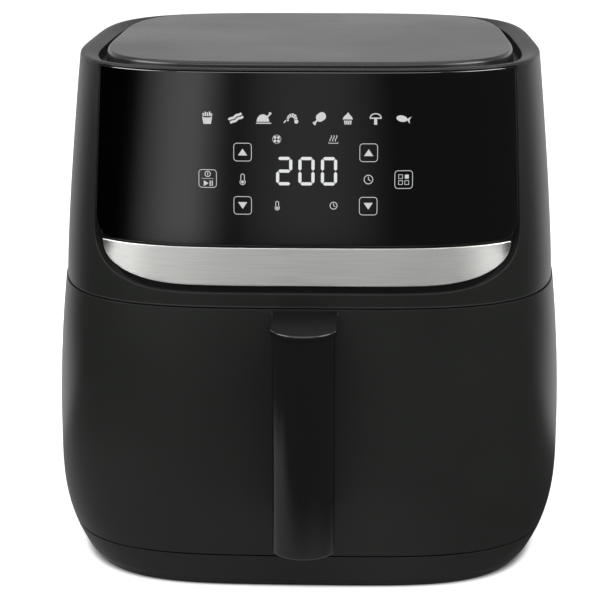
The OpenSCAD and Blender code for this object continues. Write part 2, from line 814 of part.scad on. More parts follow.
module impeller(r, height, blades, plate_low) {
  plate = 1.2;
  difference() {
    union() {
      cylinder(r = hub_r, h = height, $fn = 48);
      translate([0, 0, plate_low]) cylinder(r = r, h = plate, $fn = 96);
      linear_extrude(height) for (i = [0 : blades - 1])
        rotate(360 * i / blades) blade_outline(hub_r - 2, r, 1.2, 28);
    }
    translate([0, 0, -1]) cylinder(r = shaft_r + 0.02, h = height + 2, $fn = 48);
  }
}

module hot_air_fan() {
  color(zinc) translate([0, body_y + fan_y, fan_low])
    impeller(fan_r, fan_h, fan_blades, fan_h - 1.2);
}

module cooling_fan() {
  color([0.85, 0.84, 0.8]) translate([0, body_y + fan_y, cooler_low])
    impeller(cooler_r, cooler_h, 9, 0);
}

duct_leg_x = 48;
duct_leg_y = 112;

// Duct from above the reflector to the grille in the back wall
module exhaust_duct() {
  back = -front_point(grille_half_w + 5, grille_high + 5, wall)[1] - 2 * clear - 2.4;
  w = grille_half_w;
  color([0.25, 0.25, 0.25]) translate([0, body_y, 0]) difference() {
    tunnel(w, grille_low, grille_high, 5, reflector_r + 2, back);
    tunnel(w - 2, grille_low + 2, grille_high - 2, 4, reflector_r, back + 1);
  }
}

module thermal_cutout() {
  profile = [[0, 0], [9, 0], [9, 5], [7.5, 6.5], [3.5, 6.5], [3.5, 9], [0, 9]];
  color([0.55, 0.52, 0.46]) translate([-58, body_y + fan_y - 30, reflector_top])
    rotate_extrude($fn = 48) polygon(profile);
}

module temperature_probe() {
  profile = [
    [0, -14], [probe_r - 0.6, -14], [probe_r, -12], [probe_r, 0], [5, 0], [5, 1.6],
    [3, 2.4], [3, 8], [0, 8]
  ];
  color(steel) translate([probe_x, body_y + fan_y + probe_y, reflector_top])
    rotate_extrude($fn = 32) polygon(profile);
}

// ---- Electronics --------------------------------------------------------------

module control_board() {
  color(board_green) translate([0, body_y + board_y, 0]) {
    difference() {
      translate([-board_half_w, 0, board_low])
        cube([2 * board_half_w, board_t, board_high - board_low]);
      for (x = [-1, 1]) for (z = [board_low + 5, board_high - 5])
        translate([x * (board_half_w - 5), 0, z]) rod_y(1.2, -1, board_t + 1);
    }
    translate([-12, board_t, board_mid - 8]) cube([18, 1.6, 18]);
    translate([22, board_t, board_low + 8]) cube([24, 6, 8]);
    for (x = [-40, -30]) translate([x, 0, board_mid + 8]) rod_y(4, board_t, board_t + 9);
  }
}

display_half_w = 26;
display_h = 26;
display_low = board_mid - 20;
display_high = display_low + display_h;

module display_module() {
  digit_w = 9.5;
  digit_pitch = 12.7;
  digit_h = 16;
  front = front_point(display_half_w, display_high, recess_floor + 2 + clear)[1];
  color([0.9, 0.9, 0.88]) translate([0, body_y, 0]) difference() {
    translate([-display_half_w, front, display_low])
      cube([2 * display_half_w, board_y - front, display_high - display_low]);
    for (i = [-1 : 1])
      translate([i * digit_pitch - digit_w / 2, front - 1, (display_low + display_high
        - digit_h) / 2]) cube([digit_w, 2, digit_h]);
  }
}

// Blocks on the power board: place across, place back, width, depth, height
transformer = [8, 10, 30, 34, 24];
relay_near = [8, 52, 19, 16, 16];
relay_far = [8, 76, 19, 16, 16];
heat_sink = [44, 16, 12, 24, 10];
// Cans on the power board: place across, place back, radius, height
main_can = [44, 58, 8, 22];
small_can = [44, 84, 6, 14];

module power_board() {
  color(board_green) translate([power_x, body_y + power_y, power_low]) {
    cube([power_w, power_d, board_t]);
    for (b = [transformer, relay_near, relay_far, heat_sink])
      translate([b[0], b[1], board_t]) cube([b[2], b[3], b[4]]);
    for (c = [main_can, small_can])
      translate([c[0], c[1], board_t]) cylinder(r = c[2], h = c[3], $fn = 48);
  }
}

// Safety switch on top of the collar; a tongue on the drawer presses its plunger
switch_w = 20;
switch_d = 12;
switch_h = 6.2;
switch_y = -96;
switch_x = switch_w / 2 + sqrt(pow(reflector_r + reflector_foot + 2, 2)
  - pow(switch_y + switch_d - fan_y, 2));
plunger_r = 1.3;
plunger_reach = 5;
collar_top = frame_in_high + wall;
tongue_w = 8;
tongue_low = collar_top + 1;
tongue_z = (tongue_low + drawer_high) / 2;

module door_switch() {
  color([0.15, 0.15, 0.17]) translate([switch_x, body_y + switch_y, 0]) difference() {
    translate([-switch_w / 2, 0, collar_top + 0.2]) cube([switch_w, switch_d, switch_h]);
    translate([0, 0, tongue_z]) rod_y(plunger_r + shaft_clear, -1, switch_d - 3);
  }
}

module switch_plunger() {
  color([0.8, 0.2, 0.15]) translate([switch_x, body_y + switch_y, tongue_z])
    rod_y(plunger_r, -plunger_reach, switch_d - 4);
}

// ---- Drawer -------------------------------------------------------------------

plate_back = pan_y - pan_half_d - pan_flange - clear;
plate_front = plate_back - inner_plate_t;
screw_half = 9;
screw_z = 157;
handle_screw_r = 2;

module drawer_front() {
  color(black) translate([0, body_y, 0]) difference() {
    wall_sector(false, wrap_y + seam_gap, drawer_low, drawer_high);
    for (x = [-screw_half, screw_half]) translate([x, 0, screw_z])
      rod_y(handle_screw_r + clear, -half_d - 5, -half_d + 20);
  }
}

// Plate that closes the drawer front's hollow and carries the pan
module drawer_inner_plate() {
  low = drawer_low + wall + clear;
  high = drawer_high - wall - clear;
  edge = [for (z = levels(low, high)) [half_width_at(plate_front, z, wall + clear), z]];
  boss_x = 88;
  tongue_end = switch_y - plunger_reach - clear;
  color(black) translate([0, body_y, 0]) {
    translate([0, plate_back, 0]) rotate([90, 0, 0]) linear_extrude(inner_plate_t)
      polygon(concat(edge,
        [for (i = [len(edge) - 1 : -1 : 0]) [-edge[i][0], edge[i][1]]]));
    translate([switch_x - tongue_w / 2, plate_front, tongue_low])
      cube([tongue_w, tongue_end - plate_front, drawer_high - tongue_low]);
    translate([switch_x - tongue_w / 2, plate_front, high - 3])
      cube([tongue_w, inner_plate_t, tongue_low + 1 - high + 3]);
    for (x = [-boss_x, boss_x]) for (z = [low + 20, high - 20])
      translate([x, 0, z])
        rod_y(boss_r, max([for (e = [-boss_r, boss_r])
          front_point(boss_x + boss_r, z + e, wall + clear)[1]]), plate_front);
  }
}

function pan_draw(z) = pan_draft * (pan_rim_z - z) / (pan_rim_z - pan_floor_z);
pan_squareness = 6;
pan_steps = 56;

function pan_ring(inset, z) =
  [for (i = [0 : pan_steps - 1])
    concat(oval_point(pan_half_w - pan_draw(z), pan_half_d - pan_draw(z), pan_squareness,
      360 * i / pan_steps, inset) + [0, pan_y], z)];

module basket_pan() {
  z = pan_floor_z;
  rim = pan_rim_z;
  t = pan_t;
  side = [
    [11, z], [5, z + 1.2], [1.4, z + 5], [0, z + 11], [0, rim - 2], [-1.4, rim],
    [-pan_flange, rim], [-pan_flange, rim + t], [t - 1.6, rim + t], [t, rim - 1],
    [t, z + 11], [t + 1.4, z + 6], [t + 5, z + t + 1.4], [t + 11, z + t]
  ];
  color(dark_pan) translate([0, body_y, 0]) loft([for (s = side) pan_ring(s[0], s[1])]);
}

// Bent sheet bracket that ties the pan to the inner plate
module pan_bracket() {
  high = pan_rim_z - 4;
  tall = 42;
  wide = 46;
  web = pan_y - pan_half_d - 0.4;
  t = 1.2;
  half = [
    [0, web - t], [24, web - t], [28, plate_back], [wide, plate_back],
    [wide, plate_back + t], [28.6, plate_back + t], [24.6, web], [0, web]
  ];
  color(zinc) translate([0, body_y, high - tall]) linear_extrude(tall)
    polygon(concat(half, [for (i = [len(half) - 2 : -1 : 1]) [-half[i][0], half[i][1]]]));
}

module crisper_plate() {
  outline = [for (p = pan_ring(pan_t + plate_gap, plate_z)) [p[0], p[1]]];
  reach = pan_half_w - pan_draft - pan_t - plate_gap - plate_hole_r - 6;
  count = floor(reach / plate_pitch);
  loop_r = 12;
  color(dark_pan) translate([0, body_y, plate_z]) {
    linear_extrude(plate_t) difference() {
      polygon(outline);
      for (i = [-count : count]) for (j = [-count : count])
        if (abs(i) + abs(j) < 2 * count - 1 && abs(i) + abs(j) > 1)
          translate([i * plate_pitch, pan_y + j * plate_pitch])
            circle(plate_hole_r, $fn = 32);
    }
    translate([0, pan_y, plate_t]) rotate([90, 0, 0])
      rotate_extrude(angle = 180, $fn = 64) translate([loop_r, 0]) circle(1.5, $fn = 24);
  }
}

// Silicone clips that keep the crisper plate off the pan's walls
module plate_bumpers() {
  below = 3;
  long = 16;
  wall_x = pan_half_w - pan_draw(plate_z - below) - pan_t - clear;
  wall_y = pan_half_d - pan_draw(plate_z - below) - pan_t - clear;
  grip = 4;
  module clip(edge) {
    translate([edge - plate_gap - grip, -long / 2, -below]) difference() {
      cube([plate_gap + grip, long, 2 * below + plate_t]);
      translate([-1, -1, below]) cube([grip + 2, long + 2, plate_t]);
    }
  }
  color([0.3, 0.08, 0.06]) translate([0, body_y + pan_y, plate_z])
    for (a = [0, 180]) rotate([0, 0, a]) {
      clip(wall_x);
      rotate([0, 0, 90]) clip(wall_y);
    }
}

// ---- Handle -------------------------------------------------------------------

arc_r = (pow(grip_half_w, 2) + pow(grip_bulge, 2)) / (2 * grip_bulge);
arc_y = arc_r - grip_front_y;
grip_side_y = grip_bulge - grip_front_y;
grip_back_y = grip_depth - grip_front_y;
cap_low = seam_z - 5;
cap_front_z = seam_z - 3.8;
cap_back_z = seam_z - 1.2;

function skin_y(z) = front_point(0, z)[1] - 0.25;

// Plan of the grip's rounded front, grown or shrunk by an allowance
module grip_front_plan(grow, back) {
  intersection() {
    translate([0, arc_y]) circle(arc_r + grow, $fn = 96);
    translate([-grip_half_w - grow, -grip_front_y - grow])
      square([2 * (grip_half_w + grow), back + grip_front_y + grow]);
  }
}

module handle_cover() {
  color(gloss) translate([0, body_y, 0]) difference() {
    translate([0, 0, grip_bottom_z]) linear_extrude(cap_low - grip_bottom_z)
      grip_front_plan(0, grip_side_y);
    translate([0, 0, grip_bottom_z + grip_wall]) linear_extrude(cap_low)
      grip_front_plan(-grip_wall, grip_side_y + 1);
  }
}

// Inner half of the grip, with a rib that stands inside the cover
module handle_back() {
  r = 4.4;
  low = grip_bottom_z + 0.3;
  front = grip_side_y + 0.1;
  w = grip_half_w;
  rib = 2;
  rib_w = sqrt(pow(arc_r - grip_wall - clear, 2) - pow(front - rib - arc_y, 2));
  color(black) translate([0, body_y, 0]) {
    translate([0, 0, low]) linear_extrude(neck_bottom_z - low - 0.2) intersection() {
      union() {
        translate([-w, front]) square([2 * w, grip_back_y - r - front]);
        translate([r - w, front]) square([2 * (w - r), grip_back_y - front]);
        for (x = [r - w, w - r]) translate([x, grip_back_y - r]) circle(r, $fn = 48);
      }
      translate([-w, front]) square([2 * w, grip_back_y - front]);
    }
    translate([-rib_w, front - rib, low + grip_wall])
      cube([2 * rib_w, rib, neck_bottom_z - low - grip_wall - 0.2]);
  }
}

// Arm from the drawer front to the grip, with a rounded underside
module handle_neck() {
  plate = 4;
  bend = 7;
  front = grip_side_y + 0.1;
  arm_top = cap_low - 0.1;
  foot_z = neck_bottom_z;
  arm = concat(
    [[skin_y(arm_top), arm_top], [front, arm_top], [front, foot_z]],
    [[grip_back_y, foot_z]],
    [for (a = [180 : -15 : 90]) [grip_back_y + bend + bend * cos(a), foot_z + bend * sin(a)
      ]],
    [[skin_y(foot_z) - plate - bend, foot_z + bend]],
    [for (a = [90 : -15 : 0])
      [skin_y(foot_z) - plate - bend + bend * cos(a), foot_z + bend * sin(a)]],
    [[skin_y(foot_z), foot_z]]
  );
  base = [
    [skin_y(foot_z), foot_z], [skin_y(seam_z - 1.2), seam_z - 1.2],
    [skin_y(seam_z) - plate + 1, seam_z - 1.2], [skin_y(seam_z) - plate, seam_z - 2.2],
    [skin_y(foot_z) - plate, foot_z + 1], [skin_y(foot_z) - plate + 1, foot_z]
  ];
  color(black) translate([0, body_y, 0]) difference() {
    union() {
      translate([-grip_half_w, 0, 0]) rotate([90, 0, 90])
        linear_extrude(2 * grip_half_w) polygon(arm);
      difference() {
        translate([-neck_half_w, 0, 0]) rotate([90, 0, 90])
          linear_extrude(2 * neck_half_w) polygon(base);
        translate([-grip_half_w - cap_over - 0.1, -half_d - 20, arm_top])
          cube([2 * (grip_half_w + cap_over + 0.1), 60, 20]);
      }
    }
    for (x = [-screw_half, screw_half]) translate([x, 0, screw_z])
      rod_y(handle_screw_r + 0.1, skin_y(screw_z) - 20, skin_y(screw_z) + 5);
  }
}

module handle_cap() {
  front = -grip_front_y - cap_over - 1;
  side = [
    [skin_y(cap_low), cap_low], [skin_y(cap_back_z), cap_back_z],
    [front, cap_front_z], [front, cap_low]
  ];
  color(gloss) translate([0, body_y, 0]) intersection() {
    translate([-2 * neck_half_w, 0, 0]) rotate([90, 0, 90])
      linear_extrude(4 * neck_half_w) polygon(side);
    translate([0, 0, cap_low - 1]) linear_extrude(12) {
      grip_front_plan(cap_over, grip_side_y);
      translate([-grip_half_w - cap_over, grip_side_y - 0.1])
        square([2 * (grip_half_w + cap_over), half_d]);
    }
  }
}

module handle_screws() {
  seat = front_point(screw_half + 4, screw_z + 4, wall)[1] + 0.1;
  color(zinc) translate([0, body_y, 0]) for (x = [-screw_half, screw_half])
    translate([x, 0, screw_z]) difference() {
      union() {
        rod_y(handle_screw_r, seat - 20, seat + 1);
        rod_y(3.8, seat, seat + 2.4);
      }
      for (a = [0, 90]) rotate([0, a, 0])
        translate([-0.5, seat + 1.4, -2]) cube([1, 2, 4]);
    }
}

upper_housing();
top_cover();
panel_frame();
control_panel();
steel_trim();
body_shell();
base_tub();
rubber_feet();
base_screws();
rear_grille();
cord_gland();
mid_deck();
cavity_frame();
oven_liner();
pan_rails();
heat_reflector();
heating_element();
element_guard();
motor_bracket();
motor();
motor_shaft();
hot_air_fan();
cooling_fan();
exhaust_duct();
thermal_cutout();
temperature_probe();
control_board();
display_module();
power_board();
door_switch();
switch_plunger();
drawer_front();
drawer_inner_plate();
pan_bracket();
basket_pan();
crisper_plate();
plate_bumpers();
handle_neck();
handle_cover();
handle_back();
handle_cap();
handle_screws();
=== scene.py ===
"""Looks of the countertop air fryer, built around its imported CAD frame.

The object's lengths are in millimetres, measured from the body's middle, until place() turns
them into metres in the shared frame. The studio is in metres. The drawer side faces -Y.
"""

import math

import bmesh
import bpy
import numpy as np
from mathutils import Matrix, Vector
from mathutils.geometry import tessellate_polygon


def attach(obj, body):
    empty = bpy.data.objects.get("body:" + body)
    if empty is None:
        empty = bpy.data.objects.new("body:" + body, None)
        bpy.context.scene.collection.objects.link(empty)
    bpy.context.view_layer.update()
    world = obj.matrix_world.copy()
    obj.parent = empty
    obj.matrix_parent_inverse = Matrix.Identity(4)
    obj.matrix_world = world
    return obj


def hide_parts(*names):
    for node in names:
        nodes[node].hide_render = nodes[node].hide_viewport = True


MM = 0.001
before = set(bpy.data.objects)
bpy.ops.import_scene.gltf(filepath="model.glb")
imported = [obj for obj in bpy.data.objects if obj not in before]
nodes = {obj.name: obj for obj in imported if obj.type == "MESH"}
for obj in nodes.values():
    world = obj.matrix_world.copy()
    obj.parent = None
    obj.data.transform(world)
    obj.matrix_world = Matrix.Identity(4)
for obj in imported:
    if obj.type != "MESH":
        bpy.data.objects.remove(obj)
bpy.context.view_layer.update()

# ---- Sizes that follow the part's source ----

HALF_W, HALF_D = 157.7, 171.7
BODY_H, WIDEST_Z, SEAM_Z, BASE_Z = 305.0, 70.0, 170.5, 20.5
WALL, FLANGE, CLEAR, SEAM_GAP = 2.8, 9.0, 0.3, 0.8
WRAP_Y = 45.0
RIM_W, RIM_DISH, GROOVE_W, GROOVE_Z, COVER_TOP = 11.0, 2.4, 6.5, 299.0, 306.7
GLASS_TOP, GLASS_LOW, GLASS_T = 303.4, 206.2, 2.4
TRIM_LOW, TRIM_T, LIP = 183.0, 0.8, 4.0
GRILLE_HALF, GRILLE_LOW, GRILLE_HIGH, GRILLE_CORNER = 72.0, 212.0, 268.0, 6.0
GRIP_HALF, GRIP_FRONT, GRIP_BULGE, GRIP_LOW, CAP_OVER = 17.5, 213.0, 11.0, 37.0, 0.8
BASE_FLOOR, FOOT_H, FOOT_X, FOOT_Y, STEM_R = 5.0, 2.0, 105.0, 118.0, 3.0
SCREW_X, SCREW_Y, SCREW_R, SCREW_HEAD_R, SCREW_HEAD_H, BOSS_R = 60.0, 96.0, 2.0, 4.0, 2.2, 6.0
SLOTS, SLOT_PITCH, SLOT_HALF, SLOT_R, SLOT_Y = 11, 12.0, 20.0, 1.8, 60.0
LINER_FLOOR_Z = 29.0
BODY_Y = (GRIP_FRONT + CAP_OVER - HALF_D) / 2

# ---- Body outline ----

# How far the walls draw in at the foot, the seam and the rim, and how late they start to
FOOT_SIDE_IN, FOOT_FRONT_IN, SEAM_IN, SEAM_STEP, RIM_IN = 18.0, 6.0, 5.9, 0.7, 11.1
FOOT_SIDE_BEND, FOOT_FRONT_BEND, RIM_BEND = 3.1, 1.9, 1.3
# Exponent of the plan oval, which falls towards the rim and grows towards the foot
SQUARENESS, RIM_ROUNDING, FOOT_SQUARING = 3.8, 0.15, 0.2


def half_plan(z):
    """Half width, half depth and exponent of the plan oval at a level."""
    z = np.asarray(z, float)
    foot = np.clip(WIDEST_Z - z, 0, None) / WIDEST_Z
    seam = SEAM_IN * (np.clip(z - WIDEST_Z, 0, None) / (SEAM_Z - WIDEST_Z)) ** 2
    above = np.clip(z - SEAM_Z, 0, None) / (BODY_H - SEAM_Z)
    draw_in = np.where(z <= SEAM_Z, seam, SEAM_IN + SEAM_STEP + RIM_IN * above**RIM_BEND)
    half_w = HALF_W - draw_in - FOOT_SIDE_IN * foot**FOOT_SIDE_BEND
    half_d = HALF_D - draw_in - FOOT_FRONT_IN * foot**FOOT_FRONT_BEND
    return half_w, half_d, SQUARENESS - RIM_ROUNDING * above + FOOT_SQUARING * foot


def oval(a, b, n, angle, inset=0.0):
    """Points of an oval with flattened sides, moved inward square to its edge."""
    c, s = np.cos(angle), np.sin(angle)
    c_size, s_size = np.abs(c) + 1e-12, np.abs(s) + 1e-12
    x, y = a * np.sign(c) * c_size ** (2 / n), b * np.sign(s) * s_size ** (2 / n)
    nx = np.sign(c) * c_size ** (2 - 2 / n) / a
    ny = np.sign(s) * s_size ** (2 - 2 / n) / b
    length = np.hypot(nx, ny)
    return x - inset * nx / length, y - inset * ny / length


def body_ring(angles, z, inset=0.0):
    """One turn of the body's outline at a level, as rows of x, y, z."""
    x, y = oval(*half_plan(z), angles, inset)
    return np.stack([x, y, np.full_like(x, float(z))], -1)


def wall_point(x, z, inset=0.0, rear=False):
    """Points of the front or rear wall at places across and levels."""
    x, z, inset = np.broadcast_arrays(*(np.asarray(v, float) for v in (x, z, inset)))
    a, b, n = half_plan(z)
    share = np.clip(1 - (np.abs(x) / a) ** n, 0, 1) ** (1 / n)
    nx, ny = np.sign(x) * (np.abs(x) / a) ** (n - 1) / a, -(share ** (n - 1)) / b
    length = np.hypot(nx, ny)
    y = -b * share - inset * ny / length
    return np.stack([x - inset * nx / length, -y if rear else y, z], -1)


def even_angles(count):
    """Plan angles whose points lie evenly along the widest outline, starting at +X."""
    fine = np.linspace(0, 2 * math.pi, 200001)
    x, y = oval(HALF_W, HALF_D, SQUARENESS, fine)
    run = np.concatenate([[0], np.cumsum(np.hypot(np.diff(x), np.diff(y)))])
    return np.interp(np.arange(count) / count * run[-1], run, fine)


def levels(low, high, step):
    return np.linspace(low, high, max(2, int(round((high - low) / step)) + 1))


def arc(cx, cy, r, start, end, count=5):
    """Points on an arc, degrees from the first axis towards the second."""
    t = np.radians(np.linspace(start, end, count))
    return [(cx + r * math.cos(v), cy + r * math.sin(v)) for v in t]


def circle(cx, cy, r, count=32):
    t = np.linspace(0, 2 * math.pi, count, endpoint=False)
    return np.stack([cx + r * np.cos(t), cy + r * np.sin(t)], -1)


def rounding(r, inset, z, turns, way=1):
    """Insets and levels round an edge: the turns, in degrees, lead from the wall inward."""
    return [(inset + r - r * math.cos(t), z + way * r * math.sin(t)) for t in np.radians(turns)]


def at_level(points, z):
    return np.column_stack([points, np.full(len(points), z)])


def eased(half, count):
    """Places from -half to half, closer together towards both ends."""
    return half * np.sin(np.linspace(-1, 1, count) * math.pi / 2)


def boat_rise(x, flat, tip, height, bend=2.4):
    """Rise of a boat-shaped edge: flat in the middle, turning up to its tips."""
    share = np.clip((np.abs(x) - flat) / (tip - flat), 0, 1)
    return height * (1 - (1 - share**bend) ** (1 / bend))


# ---- Mesh helpers ----

SHARP_FROM = 48


def place(points):
    """Rows of mm around the body's middle, as metres in the shared frame."""
    return (np.asarray(points, float) + [0, BODY_Y, 0]) * MM


def add_object(name, data):
    piece = bpy.data.objects.new(name, data)
    bpy.context.scene.collection.objects.link(piece)
    return piece


def add_mesh(name, points, faces, materials, body, replaced=None, tags=None):
    """Makes a piece that rides on a body. tags gives each face its material's place in a list."""
    mesh = bpy.data.meshes.new(name)
    mesh.from_pydata(place(points).tolist(), [], faces)
    if tags:
        mesh.polygons.foreach_set("material_index", tags)
    bm = bmesh.new()
    bm.from_mesh(mesh)
    bmesh.ops.remove_doubles(bm, verts=bm.verts, dist=2e-6)
    bmesh.ops.dissolve_degenerate(bm, edges=bm.edges, dist=1e-6)
    bmesh.ops.recalc_face_normals(bm, faces=bm.faces)
    bm.to_mesh(mesh)
    bm.free()
    for polygon in mesh.polygons:
        polygon.use_smooth = True
    mesh.set_sharp_from_angle(angle=math.radians(SHARP_FROM))
    for material in materials if isinstance(materials, tuple) else (materials,):
        mesh.materials.append(material)
    piece = add_object(name, mesh)
    if replaced:
        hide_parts(replaced)
    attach(piece, body)
    return piece


class Skin:
    """Collects grids of points into one mesh."""

    def __init__(self):
        self.points, self.faces, self.tags, self.count = [], [], [], 0

    def face(self, corners, tag=0):
        self.faces.append(corners)
        self.tags.append(tag)

    def keep(self, points):
        """Adds points and returns the place of the first one."""
        self.points.append(points)
        self.count += len(points)
        return self.count - len(points)

    def grid(self, rows, wrap=False, flip=False, tag=0):
        """rows is an array (rows, columns, 3); wrap joins the last column to the first."""
        rows = np.asarray(rows, float)
        m, n = rows.shape[:2]
        at = (self.keep(rows.reshape(-1, 3)) + np.arange(m * n).reshape(m, n)).tolist()
        for j in range(m - 1):
            for i in range(n if wrap else n - 1):
                k = (i + 1) % n
                quad = (at[j][i], at[j][k], at[j + 1][k], at[j + 1][i])
                self.face(quad[::-1] if flip else quad, tag)

    def cap(self, ring):
        """Closes a ring with one face."""
        at = self.keep(ring)
        self.face(tuple(range(at, at + len(ring))))

    def fan(self, ring, centre):
        """Closes a ring with a point."""
        n, at = len(ring), self.keep(np.vstack([ring, centre]))
        for i in range(n):
            self.face((at + i, at + (i + 1) % n, at + n))

    def lid(self, ring, shrink=(0.85, 0.6, 0.3)):
        """Closes a ring with smaller rings and a middle point."""
        middle = ring.mean(0)
        rows = [ring] + [middle + (ring - middle) * s for s in shrink]
        self.grid(rows, wrap=True)
        self.fan(rows[-1], middle)

    def plate(self, outline, holes, z):
        """Flat plate at a level, with holes."""
        loops = [at_level(loop, z) for loop in (outline, *holes)]
        flat = tessellate_polygon([[Vector(p) for p in loop] for loop in loops])
        at = self.keep(np.vstack(loops))
        for corners in flat:
            self.face(tuple(at + i for i in corners))

    def make(self, name, materials, body, slot, replaced):
        """Makes the piece, with normals that follow its large faces, so that roundings shine."""
        points = np.vstack(self.points)
        piece = add_mesh(name, points, self.faces, materials, body, replaced, self.tags)
        piece.modifiers.new("even_normals", "WEIGHTED_NORMAL").keep_sharp = True


# ---- Materials ----


class Net:
    """A node tree that is built up by short calls."""

    def __init__(self, owner, output=None):
        owner.use_nodes = True
        self.tree = owner.node_tree
        if output:
            self.tree.nodes.clear()
            self.out = self.tree.nodes.new("ShaderNode" + output)

    def link(self, a, b):
        self.tree.links.new(a, b)

    def add(self, kind, *links, **values):
        """A shader node. Links go to its first inputs, values to its settings or named inputs."""
        node = self.tree.nodes.new("ShaderNode" + kind)
        for key, value in values.items():
            if hasattr(node, key):
                setattr(node, key, value)
            else:
                node.inputs[key.replace("_", " ")].default_value = value
        for index, source in enumerate(links):
            self.link(source, node.inputs[index])
        return node

    def math(self, operation, *values):
        node = self.add("Math", operation=operation)
        for index, value in enumerate(values):
            if isinstance(value, (int, float)):
                node.inputs[index].default_value = value
            else:
                self.link(value, node.inputs[index])
        return node.outputs[0]

    def times(self, *values):
        return self.math("MULTIPLY", *values)

    def ramp(self, value, start, end, low=0.0, high=1.0, **settings):
        node = self.add("MapRange", value, **settings)
        numbers = {"From Min": start, "From Max": end, "To Min": low, "To Max": high}
        for key, number in numbers.items():
            node.inputs[key].default_value = number
        return node.outputs[0]

    def step(self, *numbers):
        """A ramp with soft ends."""
        return self.ramp(*numbers, interpolation_type="SMOOTHSTEP")

    def split(self, vector):
        return self.add("SeparateXYZ", vector).outputs

    def glow(self, level):
        """White light of this strength."""
        light = self.add("Emission", Color=(1, 1, 1, 1))
        self.link(level, light.inputs["Strength"])
        return light.outputs[0]

    def show(self, shader):
        self.link(shader, self.out.inputs[0])


class Paint(Net):
    """A Principled material with object-space texture coordinates."""

    def __init__(self, name, colour, roughness, metallic=0.0, **inputs):
        self.material = bpy.data.materials.new(name)
        super().__init__(self.material)
        self.shader = self.tree.nodes["Principled BSDF"]
        inputs.update(Base_Color=(*colour, 1), Roughness=roughness, Metallic=metallic)
        for key, value in inputs.items():
            self.shader.inputs[key.replace("_", " ")].default_value = value
        self.material.diffuse_color = (*colour, 1)

    def noise(self, scale, detail=3.0, stretch=(1, 1, 1)):
        coords = self.add("TexCoord")
        mapping = self.add("Mapping", coords.outputs["Object"], Scale=stretch)
        noise = self.add("TexNoise", mapping.outputs[0],
                         Scale=scale, Detail=detail, Roughness=0.55)
        return noise.outputs["Fac"]

    def vary_roughness(self, value, low, high):
        self.link(self.ramp(value, 0.35, 0.65, low, high), self.shader.inputs["Roughness"])
        return self

    def vary_colour(self, value, dark, light, start=0.35, end=0.65):
        mix = self.add("Mix", self.ramp(value, start, end), data_type="RGBA")
        mix.inputs[6].default_value = (*dark, 1)
        mix.inputs[7].default_value = (*light, 1)
        self.link(mix.outputs[2], self.shader.inputs["Base Color"])
        return self

    def bump(self, value, distance, strength=1.0):
        node = self.add("Bump", Distance=distance, Strength=strength)
        self.link(value, node.inputs["Height"])
        self.link(node.outputs[0], self.shader.inputs["Normal"])
        return self


def grey(level):
    return level, level, level


def shades(colour, dark, light):
    return tuple(c * dark for c in colour), tuple(min(1, c * light) for c in colour)


def satin(name, colour, roughness, grain=2600.0, depth=6e-6, gloss=0.5):
    """Moulded plastic with a fine sparked grain."""
    paint = Paint(name, colour, roughness, Specular_IOR_Level=gloss)
    fine = paint.noise(grain, 2.0)
    broad = paint.noise(9.0)
    paint.vary_roughness(broad, roughness - 0.02, roughness + 0.03)
    return paint.vary_colour(broad, *shades(colour, 0.88, 1.12)).bump(fine, depth, 0.6).material


def polished(name, colour, roughness, metallic=0.0, gloss=0.5):
    """Polished plastic, glass or metal with a trace of haze."""
    paint = Paint(name, colour, roughness, metallic, Specular_IOR_Level=gloss)
    return paint.vary_roughness(paint.noise(14.0, 4.0), roughness, roughness + 0.03).material


def sheet_metal(name, colour, roughness, scale, depth, stretch=(1, 1, 1), turn=0.0, aniso=0.0):
    """Rolled or brushed sheet; stretch under 1 draws the grain out along that axis."""
    paint = Paint(name, colour, roughness, 1.0, Anisotropic=aniso, Anisotropic_Rotation=turn)
    grain = paint.noise(scale, 3.0, stretch)
    paint.vary_roughness(grain, roughness - 0.04, roughness + 0.04)
    paint.vary_colour(grain, *shades(colour, 0.86, 1.08), 0.3, 0.7)
    return paint.bump(grain, depth).material


def glowing(name, colour):
    """Lit symbol behind the glass."""
    paint = Paint(name, grey(0.02), 0.3, Emission_Strength=1.0, Emission_Color=(*colour, 1))
    return paint.vary_roughness(paint.noise(300.0), 0.25, 0.35).material


BLACK = (0.0128, 0.0142, 0.0126)
upper_black = satin("satin_black", BLACK, 0.36, gloss=0.2)
base_black = satin("base_black", BLACK, 0.4, gloss=0.2)
cover_black = satin("cover_black", (0.0085, 0.009, 0.008), 0.28, 2400.0, 4e-6, gloss=0.4)
cap_black = satin("cap_black", (0.006, 0.0063, 0.006), 0.42, 2400.0, 3e-6, gloss=0.04)
# Lighter black for the lip above the seam: a painted highlight line
lip_painted_highlight = satin("lip_painted_highlight", (0.034, 0.036, 0.034), 0.4, gloss=0.3)
edge_black = polished("edge_black", BLACK, 0.14)
# Trim's rounded edges: smoother steel, painted paler than the strip as a highlight line along them
steel_edge_painted_highlight = polished("steel_edge_painted_highlight", (0.9, 0.9, 0.89), 0.34, 1.0)
panel_glass = polished("panel_glass", (0.0006, 0.0006, 0.0007), 0.03, gloss=1.0)
gloss_black = polished("gloss_black", grey(0.006), 0.06)
trim_steel = sheet_metal("trim_steel", (0.68, 0.68, 0.66), 0.46, 5200.0, 1e-6,
                         (0.006, 0.05, 1.0), 0.25, 0.8)
symbol_white = glowing("symbol_white", (0.6, 0.61, 0.6))
digit_white = glowing("digit_white", (0.74, 0.76, 0.75))

# ---- Upper housing ----

